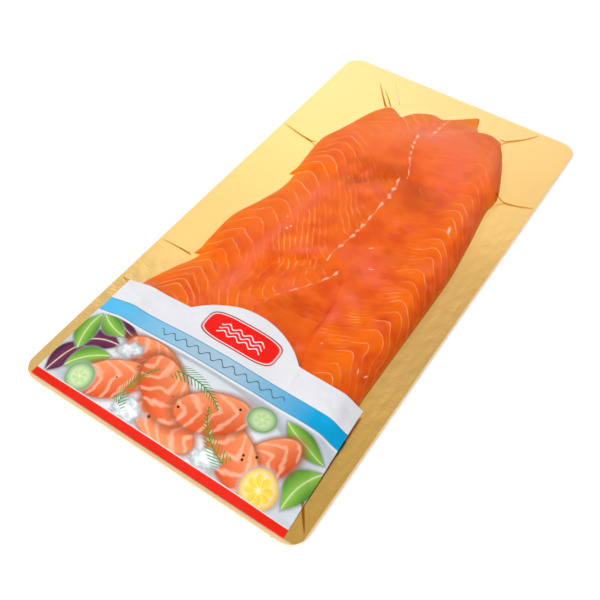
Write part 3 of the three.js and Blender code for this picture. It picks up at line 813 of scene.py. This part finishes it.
def pleat_body(number, lattice, path, width, height):
    """A pleat: the profile height * (1 - s^2)^2 carried along a smooth path, narrowing with
    the square of the way to a quarter at its far end."""
    path = np.array(path, float)
    axis = 0 if abs(path[-1, 0] - path[0, 0]) > abs(path[-1, 1] - path[0, 1]) else 1
    ordered = path if path[0, axis] < path[-1, axis] else path[::-1]
    t = np.linspace(0, 1, 60)
    line = Curve(ordered, axis).at(t if ordered is path else 1 - t)
    heading = np.gradient(line, axis=0)
    heading /= np.linalg.norm(heading, axis=1, keepdims=True)
    sideways = np.stack([heading[:, 1], -heading[:, 0]], axis=-1)
    taper = 1 - PLEAT_TAPER * t**2
    side = np.linspace(-1, 1, 13)
    grid = line[:, None] + sideways[:, None] * (side[None] * taper[:, None] * width / 2)[..., None]
    across, along = grid[..., 0], grid[..., 1]
    bottom = sample(lattice, across, along) + TOUCH / 2 + FILM_THICKNESS
    fold = height * taper[:, None] * (1 - side[None] ** 2) ** 2
    return slab(f"film_pleat_{number}", place(across, along, bottom + PLEAT_SKIN + fold),
                place(across, along, bottom), 80)


# ------------------------------------------------------------------ materials


def linear(hex_colour):
    """sRGB hex to the linear colour that shaders use."""
    channels = [int(hex_colour[i:i + 2], 16) / 255 for i in (1, 3, 5)]
    return tuple(c / 12.92 if c <= 0.04045 else ((c + 0.055) / 1.055) ** 2.4 for c in channels) + (1,)


class Signal:
    """One output of a node: the first, or the one that is asked for in brackets. Sums,
    products and powers of signals add the maths nodes that work them out."""

    def __init__(self, node, output=0):
        self.node = node
        self.output = output
        self.tree = node.id_data

    def __getitem__(self, output):
        return Signal(self.node, output)

    def __add__(self, other):
        return maths("ADD", self, other)

    def __sub__(self, other):
        return maths("SUBTRACT", self, other)

    def __mul__(self, other):
        return maths("MULTIPLY", self, other)

    def __pow__(self, other):
        return maths("POWER", self, other)

    def __abs__(self):
        return maths("ABSOLUTE", self)

    __radd__ = __add__


def add(tree, kind, inputs=None, **settings):
    """Adds a node with its settings. Each input is a value or a signal."""
    node = tree.nodes.new("ShaderNode" + kind)
    for key, value in settings.items():
        setattr(node, key, value)
    for key, value in (inputs or {}).items():
        if isinstance(value, Signal):
            tree.links.new(value.node.outputs[value.output], node.inputs[key])
        else:
            node.inputs[key].default_value = value
    return Signal(node)


def new_material(name):
    """An empty node material and its tree, ready for a shader."""
    material = bpy.data.materials.new(name)
    material.use_nodes = True
    material.node_tree.nodes.clear()
    return material, material.node_tree


def surface(shader):
    """Ends a material with its shader."""
    add(shader.tree, "OutputMaterial", {"Surface": shader})


def follow(tree, field):
    """One of the numbers that a piece carries on its mesh."""
    return add(tree, "Attribute", attribute_name=field)["Fac"]


def maths(operation, first, *others, clamp=False):
    """An operation on a signal and the values or signals that follow it."""
    return add(first.tree, "Math", dict(enumerate((first, *others))), operation=operation, use_clamp=clamp)


def spread(value, low, high, floor=0.0, peak=1.0, **settings):
    """A value spread from floor to peak as it goes from low to high, level beyond them."""
    return add(value.tree, "MapRange", {0: value, 1: low, 2: high, 3: floor, 4: peak}, **settings)


def below(value, limit, softness):
    """1 where a value is below the limit and 0 above it, with a soft step."""
    return spread(value, limit + softness, limit - softness)


def mix(share, under, over):
    """Colour `under` with a share of colour `over`. Colours are hex, linear or signals."""
    under, over = (linear(c) if isinstance(c, str) else c for c in (under, over))
    return add(share.tree, "Mix", {0: share, 6: under, 7: over}, data_type="RGBA")[2]


def noise(space, size, detail, low=None, high=None, floor=0.0, peak=1.0):
    """Soft noise with features of a size in mm, spread from low to high where these are given."""
    value = add(space.tree, "TexNoise", {"Vector": space, "Scale": 1 / (size * MM), "Detail": detail})
    return value if low is None else spread(value, low, high, floor, peak)


def relief(height, strength, depth):
    """The surface's direction under a height of 0 to 1 that stands for a depth in mm."""
    return add(height.tree, "Bump", {"Height": height, "Strength": strength, "Distance": depth * MM})


def plan_of(space):
    """Object coordinates as plan millimetres from the board's near left corner."""
    return add(space.tree, "VectorMath", {
        0: space, 1: (1 / MM, 1 / MM, 0), 2: (BOARD_WIDTH / 2, BOARD_LENGTH / 2, 0)},
        operation="MULTIPLY_ADD")


def local(plan, across, along, length, width, turn=0):
    """Coordinates of a motif: 0 in its middle and 1 at the ends of its half length and width."""
    return add(plan.tree, "Mapping", {
        "Vector": plan, "Location": (across, along, 0), "Rotation": (0, 0, math.radians(turn)),
        "Scale": (length, width, 1)}, vector_type="TEXTURE")


def length_of(vector):
    """The length of a vector."""
    return add(vector.tree, "VectorMath", {0: vector}, operation="LENGTH")["Value"]


def axes(vector):
    """The x and y of a vector."""
    parts = add(vector.tree, "SeparateXYZ", {0: vector})
    return parts["X"], parts["Y"]


def per_layer(phase, seed):
    """A random number for each layer that a phase counts."""
    layer = maths("FLOOR", phase)
    return add(phase.tree, "TexWhiteNoise", {"W": layer + seed}, noise_dimensions="1D")


def fat_lines(phase, gap, show, width):
    """Mask of fat lines: 1 within `width` mm of the places where the phase is a half, each
    line with a strength of its own."""
    off = abs(maths("FRACT", phase) - 0.5) * gap
    line = spread(off, 0.0, width, 1.0, 0.0, interpolation_type="SMOOTHSTEP")
    strength = spread(per_layer(phase, 0.5), 0.0, 1.0, 0.5, 1.1)
    return line * show * strength


SEAM_MARK_SPACING = 8.5
SEAM_LINE = 0.14  # half width of the thin line between the marks


def seam_marks(across, along, show, space):
    """The seam: small drawn-out triangles of white fat at uneven distances, joined by a thin
    line. Each widens along the fish and ends short."""
    shifted = along + noise(space, 22, 1.0, 0.3, 0.7, -5.0, 5.0)
    beat = shifted * (1 / SEAM_MARK_SPACING)
    size = spread(per_layer(beat, 7.5), 0.0, 1.0, 0.35, 1.15)
    wedge = spread(maths("FRACT", beat), 0.45, 0.85)
    half_width = wedge * size + SEAM_LINE
    jitter = noise(space, 4, 2.0, 0.3, 0.7, -0.7, 0.7)
    within = half_width - abs(across + jitter)
    return spread(within, -0.2, 0.3, 0.0, 0.85) * show


# Each tint's colour, the size of its stray patches in mm and the level of noise from which
# they show. A tint lies over those before it.
TINT_LOOKS = [
    ("bright", "#FF7E38", 9, 0.62),
    ("golden", "#F66C02", 7, 0.56),
    ("rosy", "#F66E54", 8, 0.55),
    ("crimson", "#CC3A1A", 9, 0.66),
    # Darker thick flesh together with painted shade in the fold's hollow and down the right wall.
    ("deep_flesh_and_shade", "#BA4200", 20, 0.6),
]
# The fat lines of each family: the layers that they follow, how many lines a layer has,
# whether they are patchy, and how far in mm they reach to either side.
FAT_FAMILIES = [
    ("flank", "flank", 1, False, 0.6),
    ("inner", "inner", 1, True, 0.62),
    ("shoulder", "shoulder", 1, False, 0.5),
    ("level", "shoulder", 3, True, 0.5),
]


def salmon_flesh():
    """Cold-smoked salmon: raw-looking orange muscle in bands, thin pale layers of fat
    between them, wet and slightly translucent, more golden where it is thin."""
    material, tree = new_material("smoked_salmon_flesh")
    space = add(tree, "TexCoord")["Object"]
    flesh = mix(noise(space, 12, 5.0, 0.4, 0.6), "#E24C0C", "#F0640E")
    for tint, colour, size, low in TINT_LOOKS:
        stray = noise(space, size, 4.0, low, low + 0.14, 0.0, 0.4)
        ragged = follow(tree, tint) * noise(space, 4, 4.0, 0.3, 0.55, 0.7, 1.1)
        flesh = mix(maths("ADD", stray, ragged, clamp=True) * 0.85, flesh, colour)
    flesh = mix(follow(tree, "thin"), flesh, "#F4860F")

    # Fine streaks that run with the layers, dark ones and then pale ones.
    plan = plan_of(space)
    across, along = axes(plan)
    grain = add(tree, "CombineXYZ", {0: follow(tree, "grain_phase") * 4.0, 1: across * 0.17, 2: along * 0.17})
    grain = add(tree, "TexNoise", {"Vector": grain, "Scale": 1.0, "Detail": 3.0})
    show = follow(tree, "grain_show")
    for low, high, colour in ((0.52, 0.7, "#C23C08"), (0.48, 0.3, "#FF7C1E")):
        flesh = mix(spread(grain, low, high, 0.0, 0.5) * show, flesh, colour)

    # The layers of fat, and between them bands of muscle, each of its own tone and more
    # golden up to the next line.
    fat = None
    patchy = noise(space, 7, 3.0, 0.42, 0.56)
    steady = spread(patchy, 0.0, 1.0, 0.5, 1.0)
    for family, layers, share, is_patchy, width in FAT_FAMILIES:
        phase, gap, show = (follow(tree, field) for field in (
            layers + "_phase", layers + "_gap", family + "_show"))
        phase = (phase + noise(space, 5, 2.0, 0.0, 1.0, -0.1, 0.1)) * share
        gap = gap * (1 / share)
        after_line = phase + 0.5
        band = per_layer(after_line, 3.5) + maths("FRACT", after_line)
        flesh = mix(band * show * 0.45, flesh, "#F97202")
        line = fat_lines(phase, gap, show, width) * (patchy if is_patchy else steady)
        fat = line if fat is None else maths("MAXIMUM", fat, line)
    flesh = mix(fat, flesh, "#FFAE74")

    seam = seam_marks(*(follow(tree, "seam_" + part) for part in ("across", "along", "show")), space)
    # Flecks of fat and painted glints of sheen join the seam's pale marks, in the same colour.
    for bright_spot in SPECKS_AND_GLINTS:
        seam = maths("MAXIMUM", seam, below(length_of(local(plan, *bright_spot)), 1.0, 0.4))
    flesh = mix(seam, flesh, "#FFBD9F")

    surface(add(tree, "BsdfPrincipled", {
        "Base Color": flesh, "Roughness": 0.42, "IOR": 1.38, "Specular IOR Level": 0.06,
        "Subsurface Weight": 0.08, "Subsurface Radius": (1.0, 0.35, 0.12),
        "Subsurface Scale": 1.5 * MM, "Normal": relief(fat + noise(space, 1.2, 2.0), 0.25, 0.12)}))
    return material


# Where the board's rim begins to show pale pulp colour and where it shows most, on the right side
# and along the near end. On the right side pulp shows through worn foil; along the near end the
# pale colour is a painted reflection of light along that edge.
WORN_RIGHT = (BOARD_WIDTH / 2 - 1, BOARD_WIDTH / 2 - 0.4)
NEAR_EDGE_PAINTED_REFLECTION = (2.6 - BOARD_LENGTH / 2, 1.8 - BOARD_LENGTH / 2)


def gold_laminate():
    """Board laminated with gold metallised film: a satin metal face with fine crinkles over a cut
    edge of cream pulp. Its colour is painted paler towards grazing views, a painted sheen, and
    brighter on the left margin and duller on the right one, a painted reflection. The pulp shows
    through the face where the foil is worn along the right edge; along the near end its pale
    colour is a painted reflection of light caught by that edge."""
    material, tree = new_material("gold_laminated_board")
    space = add(tree, "TexCoord")["Object"]
    crinkle = relief(noise(space, 1.8, 4.0) * follow(tree, "crinkle"), 1.0, 0.1)
    # Painted sheen: the gold's colour turns paler towards grazing views.
    facing = add(tree, "LayerWeight", {"Blend": 0.5})["Facing"]
    gold = mix(spread(facing, 0.05, 0.45), "#F1BD5E", "#F5CE8B")
    # Painted reflection: the foil's colour brighter on the left margin, duller on the right.
    for tone, colour in (("bright", "#FFD486"), ("painted_dull_reflection", "#E2B46A")):
        gold = mix(follow(tree, tone), gold, colour)
    foil = add(tree, "BsdfPrincipled", {
        "Base Color": gold, "Metallic": 1.0, "Roughness": 0.24, "Normal": crinkle})
    pulp = mix(noise(space, 0.8, 3.0), "#EEC898", "#F9E2BE")
    card = add(tree, "BsdfPrincipled", {"Base Color": pulp, "Roughness": 0.8})
    upward = add(tree, "SeparateXYZ", {0: add(tree, "NewGeometry")["True Normal"]})["Z"]
    bare = spread(upward, 0.5, 0.3)
    x, y = axes(space)
    # Pale pulp colour: worn foil on the right edge, a painted reflection along the near end.
    for position, (inner, outer) in ((x, WORN_RIGHT), (y, NEAR_EDGE_PAINTED_REFLECTION)):
        bare = maths("MAXIMUM", bare, spread(position, inner * MM, outer * MM, 0.0, 0.75))
    surface(add(tree, "MixShader", {0: bare, 1: foil, 2: card}))
    return material


def clear_film(name, tint, painted_highlight_share=0.0):
    """Clear polyamide and polyethylene laminate: seen through nearly untouched, with a thin
    gloss that shows on slopes and pleats. Its tint colours what is seen through it, painted
    shade on a pleat, and a share of white diffuse paints a highlight line along a pleat."""
    material, tree = new_material(name)
    space = add(tree, "TexCoord")["Object"]
    wavy = relief(noise(space, 6, 2.0), 0.3, 0.15)
    # The tint darkens what is seen through the film; on the pleats it is painted shade along the fold.
    clear = add(tree, "BsdfTransparent", {"Color": linear(tint)})
    gloss = add(tree, "BsdfGlossy", {"Roughness": 0.09, "Normal": wavy})
    grazing = add(tree, "LayerWeight", {"Blend": 0.5, "Normal": wavy})["Facing"]
    share = spread(grazing ** 5.0, 0.0, 1.0, 0.003, 0.4)
    glossy = add(tree, "MixShader", {0: share, 1: clear, 2: gloss})
    white = add(tree, "BsdfDiffuse", {"Color": linear("#FFFFFF")})
    # A share of white diffuse: a painted highlight along a pleat.
    surface(add(tree, "MixShader", {0: painted_highlight_share, 1: glossy, 2: white}))
    return material


# What is printed on the label, in plan millimetres. A band runs from one place along the
# label to another. Every motif has its place across and along, half its length and width,
# and its turn in degrees.
RED_BAND = (0, 6.9)
PICTURE = (7.4, 53)
BLUE_BAND = (54.9, 64.3)
BLUE_BAND_EDGES = (54.4, 64.8)
BLUE_FADES = [(20, 75, "#A6C6D9"), (100, 150, "#00A4DC")]  # from, to and the blue reached
PLAQUE = (90.2, 79.2)
PLAQUE_RINGS = [(24.2, 9.5, "#C01810"), (23.4, 8.7, "#E7E7EB"), (22.7, 8.1, "#F4160A")]
# Wavy lines: their ends across, the swing, the length of one wave and the thickness.
NAME_WAVE = (50, 132, 1.6, 8, 0.7)
NAME_WAVE_ALONG = 59.6
PLAQUE_WAVE = (76, 104.4, 1.1, 7.1, 0.8)
PLAQUE_WAVE_OFFSETS = (-2.6, 0, 2.6)

PLATE = (88, 26, 72, 26, 0)
LEAVES = {
    ("#7C3058", "#3A1A30"): [(14, 21, 14, 7, 70), (25, 37, 13, 6.5, 20), (34, 49, 10, 4, 165)],
    ("#93C64C", "#41802E"): [(13, 39, 13, 7, 100), (27, 25, 13, 6.5, 40), (25, 47, 11, 5.5, 160),
                             (163, 27, 14, 7, 75), (153, 45, 14, 6, 165)],
}
FILLETS = [(58, 43, 19, 9, -8), (144, 27, 19, 10, 60), (48, 22, 21, 11, 30), (88, 15, 20, 9, 175),
           (76, 31, 22, 12, -35), (127, 21, 21, 11, -30), (106, 33, 21, 12, 25)]
# Lemon and cucumber slices: the rind's middle and rim, the two colours of the segments,
# their number and reach, and the slices.
ROUND_SLICES = [
    ("#FCF4CF", "#E9B52C", "#F8DC5E", "#F2C63A", 8, (7.4, 7), [(148, 14, 10, 9.5, 15)]),
    ("#E4F2C8", "#5E9C46", "#CFE6AC", "#B4D68C", 6, (4.4, 4.1), [
        (31, 14, 8.5, 8, 20), (129, 44, 8, 7.4, 0)]),
]
CREAM = [(66, 12, 8, 5, 0), (116, 12, 7, 4.5, 0), (45, 40, 6, 4.5, 20)]
DILL = [(92, 43, 17, 17, -12), (112, 22, 16, 16, 140), (60, 26, 14, 14, 75)]
PEPPER = (95, 27, 52, 18, 0)
PEPPER_CELL = 5.5


def printed_motif(ground, ink, off, edge, shadow, halo):
    """Ink up to an edge, over a soft shadow round it. The edge and the shadow's halo are
    each a value of `off` and its softness."""
    shaded = mix(below(off, *halo), ground, shadow)
    return mix(below(off, *edge), shaded, ink)


def printed_ellipse(plan, ground, middle, rim, motif):
    """An ellipse shaded from its middle to its rim, with the square of the way out."""
    off = length_of(local(plan, *motif))
    return printed_motif(ground, mix(off ** 2.0, middle, rim), off, (0.98, 0.03), "#A9ABAF", (1.08, 0.15))


def printed_leaf(plan, ground, middle, rim, motif):
    """A bent pointed leaf with a pale midrib: |y + 0.35 x^2| < 1 - x^2."""
    x, y = axes(local(plan, *motif))
    squared = x * x
    out = abs(maths("MULTIPLY_ADD", squared, 0.35, y))
    ink = mix(below(out, 0.05, 0.04), mix(out, middle, rim), "#D8E3B4")
    return printed_motif(ground, ink, out + squared, (0.97, 0.05), "#8E928E", (1.1, 0.15))


def printed_fillet(plan, ground, motif):
    """A folded slice of salmon: an ellipse with bowed pale stripes, sin(15 (x + y^2 / 2)),
    lit along one side."""
    placed = local(plan, *motif)
    x, y = axes(placed)
    bowed = maths("MULTIPLY_ADD", y * y, 0.5, x) + noise(placed, 900, 2.0, 0.3, 0.7, -0.15, 0.15)
    stripe = spread(maths("SINE", bowed * 15.0), 0.2, 1.0, 0.0, 0.6)
    ink = mix(stripe, mix(spread(y, -0.9, 0.9), "#DC4E16", "#FF9A66"), "#FCC8A8")
    return printed_motif(ground, ink, length_of(placed), (0.97, 0.04), "#A5522E", (1.1, 0.15))


def printed_dollop(space, plan, ground, motif):
    """A lump of soft cheese: an ellipse with a wandering outline and uneven shading."""
    off = length_of(local(plan, *motif)) + noise(space, 6, 2.0, 0.35, 0.65, -0.3, 0.3)
    ink = mix(noise(space, 3, 3.0, 0.38, 0.62), "#FAFAF8", "#D2D9DA")
    ink = mix(maths("MAXIMUM", off, 0.0) ** 3.0, ink, "#B4BEC2")
    return printed_motif(ground, ink, off, (0.97, 0.05), "#A9ABAF", (1.15, 0.2))


def printed_rosette(plan, ground, bright, dark, petals, motif):
    """Petals round a point, each shaded across: ellipses in polar coordinates."""
    placed = local(plan, *motif)
    x, y = axes(placed)
    turn = maths("ARCTAN2", y, x) * (petals / (2 * math.pi))
    sideways = maths("MULTIPLY_ADD", maths("FRACT", turn), 2.0, -1.0)
    outwards = maths("MULTIPLY_ADD", length_of(placed), 2.1, -1.1)
    petal = add(plan.tree, "CombineXYZ", {0: outwards, 1: sideways * 0.9})
    ink = mix(spread(sideways, -1.0, 1.0), bright, dark)
    return mix(below(length_of(petal), 0.95, 0.05), ground, ink)


def printed_dill(plan, ground, motif):
    """A bent sprig: needles lean forward to both sides of the stem and shorten to its tip."""
    x, y = axes(local(plan, *motif))
    out = abs(maths("MULTIPLY_ADD", x * x, 0.25, y))
    along_stem = maths("MULTIPLY_ADD", out, -1.2, x)
    needle = below(abs(maths("FRACT", along_stem * 7.0) - 0.5), 0.16, 0.06)
    reach = maths("MULTIPLY_ADD", x, -0.13, 0.2)
    leaf = below(out - reach, 0.0, 0.03)
    sprig = maths("MAXIMUM", needle * leaf, below(out, 0.02, 0.01))
    return mix(sprig * below(abs(x), 0.98, 0.02), ground, "#3F8A33")


def printed_peppercorns(plan, ground, motif):
    """Dark corns in some cells of a random mosaic, inside an ellipse."""
    cells = add(plan.tree, "TexVoronoi", {"Vector": plan, "Scale": 1 / PEPPER_CELL})
    chosen = below(axes(cells["Color"])[0], 0.4, 0.01)
    corn = below(cells["Distance"], 0.14, 0.02) * chosen
    area = below(length_of(local(plan, *motif)), 1.0, 0.02)
    return mix(corn * area, ground, "#33241E")


def printed_picture(space, plan):
    """A still life of fish and garnish on a plate, in simple shapes."""
    picture = mix(noise(space, 20, 2.0, 0.35, 0.65), "#E6EAEE", "#C9D1DA")
    picture = printed_ellipse(plan, picture, "#F7F7F8", "#D6DDE5", PLATE)
    for (middle, rim), leaves in LEAVES.items():
        for leaf in leaves:
            picture = printed_leaf(plan, picture, middle, rim, leaf)
    for fillet in FILLETS:
        picture = printed_fillet(plan, picture, fillet)
    for middle, rim, bright, dark, petals, reach, fruits in ROUND_SLICES:
        for fruit in fruits:
            picture = printed_ellipse(plan, picture, middle, rim, fruit)
            picture = printed_rosette(plan, picture, bright, dark, petals, (*fruit[:2], *reach, 0))
    for dollop in CREAM:
        picture = printed_dollop(space, plan, picture, dollop)
    for sprig in DILL:
        picture = printed_dill(plan, picture, sprig)
    return printed_peppercorns(plan, picture, PEPPER)


def printed_band(position, ground, low, high, ink):
    """A straight band between two places along the label."""
    off = abs(position - (low + high) / 2)
    return mix(below(off, (high - low) / 2, 0.1), ground, ink)


def printed_wave(across, along, ground, middle, low, high, swing, length, thickness, ink):
    """A wavy line from one place across to another: along = middle + swing sin(...)."""
    wave = maths("SINE", across * (2 * math.pi / length))
    off = abs(along - maths("MULTIPLY_ADD", wave, swing, middle))
    ends = below(abs(across - (low + high) / 2), (high - low) / 2, 0.2)
    return mix(below(off, thickness / 2, 0.12) * ends, ground, ink)


def printed_plaque(plan, ground, half_length, half_width, ink):
    """A rectangle with well rounded ends: x^4 + y^4 < 1 in units of its half sizes."""
    x, y = axes(local(plan, *PLAQUE, half_length, half_width))
    return mix(below(abs(x) ** 4.0 + abs(y) ** 4.0, 1.0, 0.06), ground, ink)


def printed_label():
    """Coated paper, offset printed: white stock, a red and a blue band, a picture between
    them and a red plaque without lettering above. Its faint waves grow away from the pile."""
    material, tree = new_material("printed_coated_paper")
    space = add(tree, "TexCoord")["Object"]
    plan = plan_of(space)
    across, along = axes(plan)
    stock = linear("#E7E7EB")
    colour = printed_band(along, stock, *PICTURE, printed_picture(space, plan))

    blue = "#55BEEE"
    for low, high, reached in BLUE_FADES:
        blue = mix(spread(across, low, high), blue, reached)
    colour = printed_band(along, colour, *BLUE_BAND_EDGES, "#3D9CCB")
    colour = printed_band(along, colour, *BLUE_BAND, blue)
    colour = printed_wave(across, along, colour, NAME_WAVE_ALONG, *NAME_WAVE, "#44606E")
    colour = printed_band(along, colour, *RED_BAND, "#EC220A")

    for ring in PLAQUE_RINGS:
        colour = printed_plaque(plan, colour, *ring)
    for offset in PLAQUE_WAVE_OFFSETS:
        colour = printed_wave(across, along, colour, PLAQUE[1] + offset, *PLAQUE_WAVE, stock)
    off_pile = spread(abs(across - PLAQUE[0]), 25, 75, 0.3, 1.0)
    waves = relief(noise(space, 13, 2.0) * off_pile, 1.0, 2.0)
    surface(add(tree, "BsdfPrincipled", {
        "Base Color": colour, "Roughness": 0.4, "Specular IOR Level": 0.1, "Normal": waves}))
    return material


# ------------------------------------------------------------------ camera, light and floor

SENSOR_WIDTH = 36
LENS = 49.654
CAMERA_PLACE = (0.16594, -0.29767, 0.37718)
CAMERA_AXES = {  # unit vectors to the camera's right, to its top and out of its back
    "right": (0.83046, 0.55663, 0.02221),
    "up": (-0.44831, 0.64412, 0.61978),
    "back": (0.33068, -0.52466, 0.78446),
}


def make_camera():
    """A lens of about 50 mm, above and to the right of the label end, looking across the
    pack."""
    camera = bpy.data.objects.new("camera", bpy.data.cameras.new("camera"))
    camera.data.sensor_width = SENSOR_WIDTH
    camera.data.lens = LENS
    turned = Matrix([Vector(axis) for axis in CAMERA_AXES.values()]).transposed().to_4x4()
    camera.matrix_world = Matrix.Translation(CAMERA_PLACE) @ turned
    bpy.context.scene.collection.objects.link(camera)
    bpy.context.scene.camera = camera


ROOM_LIGHT = 0.4
# Where each soft light stands, the cosine at which its glow ends, and its strength.
SOFT_LIGHTS = [
    ((-0.4, 0.81, 0.42), 0.68, 1.15),
    ((-0.2, -0.9, 0.55), 0.05, 2.0),
]
KEY_LIGHT = {"place": (-0.55, 0.75, 0.9), "width": 0.6, "watts": 0.25}
FLOOR_REACH = 3.0


def make_light():
    """White light from all round, with soft panels beyond the pack's far left and behind
    the camera: each adds glow * ((cosine - reach) / (1 - reach))^2. A round lamp at the far
    left draws soft shadows."""
    world = bpy.data.worlds.new("soft_studio")
    bpy.context.scene.world = world
    world.use_nodes = True
    tree = world.node_tree
    tree.nodes.clear()
    heading = add(tree, "TexCoord")["Generated"]
    strength = ROOM_LIGHT
    for towards, reach, glow in SOFT_LIGHTS:
        facing = add(tree, "VectorMath", {0: heading, 1: Vector(towards).normalized()},
                     operation="DOT_PRODUCT")["Value"]
        strength = strength + spread(facing, reach, 1.0) ** 2.0 * glow
    background = add(tree, "Background", {"Color": (1, 1, 1, 1), "Strength": strength})
    add(tree, "OutputWorld", {"Surface": background})

    key = bpy.data.objects.new("key_light", bpy.data.lights.new("key_light", "AREA"))
    key.data.shape = "DISK"
    key.data.size = KEY_LIGHT["width"]
    key.data.energy = KEY_LIGHT["watts"]
    key.location = KEY_LIGHT["place"]
    key.rotation_euler = (-key.location).to_track_quat("-Z", "Y").to_euler()
    bpy.context.scene.collection.objects.link(key)


def make_floor():
    """A wide matt near-white floor under the pack."""
    mesh = bpy.data.meshes.new("floor")
    corners = [(x * FLOOR_REACH, y * FLOOR_REACH, 0) for x, y in ((-1, -1), (1, -1), (1, 1), (-1, 1))]
    mesh.from_pydata(corners, [], [(0, 1, 2, 3)])
    floor = bpy.data.objects.new("floor", mesh)
    bpy.context.scene.collection.objects.link(floor)
    material, tree = new_material("matt_white_paper")
    surface(add(tree, "BsdfPrincipled", {"Base Color": linear("#FFFFFF"), "Roughness": 0.9}))
    mesh.materials.append(material)


# ------------------------------------------------------------------ the pack

make_camera()
make_light()
make_floor()
bpy.context.scene.view_settings.view_transform = "Standard"

flesh = salmon_flesh()
slices = [finish_piece(slice_body(name), flesh, "salmon", name) for name in SLICES]
label = finish_piece(label_body(slices), printed_label(), "label", "label")
finish_piece(board_body(), gold_laminate(), "gold_board", "board")

film_height = drawn_sheet([*slices, label], FILM_DRAW_STEPS)
finish_piece(film_body(film_height), clear_film("clear_film", "#FFFFFF"), "clear_film", "film")
# The pleats' films: one mixed with white as a painted highlight, one tinted as painted shade.
pleat_films = {"single": clear_film("pleat_film_painted_highlight", "#FFFFFF", 0.3),
               "doubled": clear_film("pleat_film_painted_shade", "#EFDFB8")}
for number, (kind, width, height, path) in enumerate(PLEATS, start=1):
    finish_piece(pleat_body(number, film_height, path, width, height), pleat_films[kind], "clear_film")
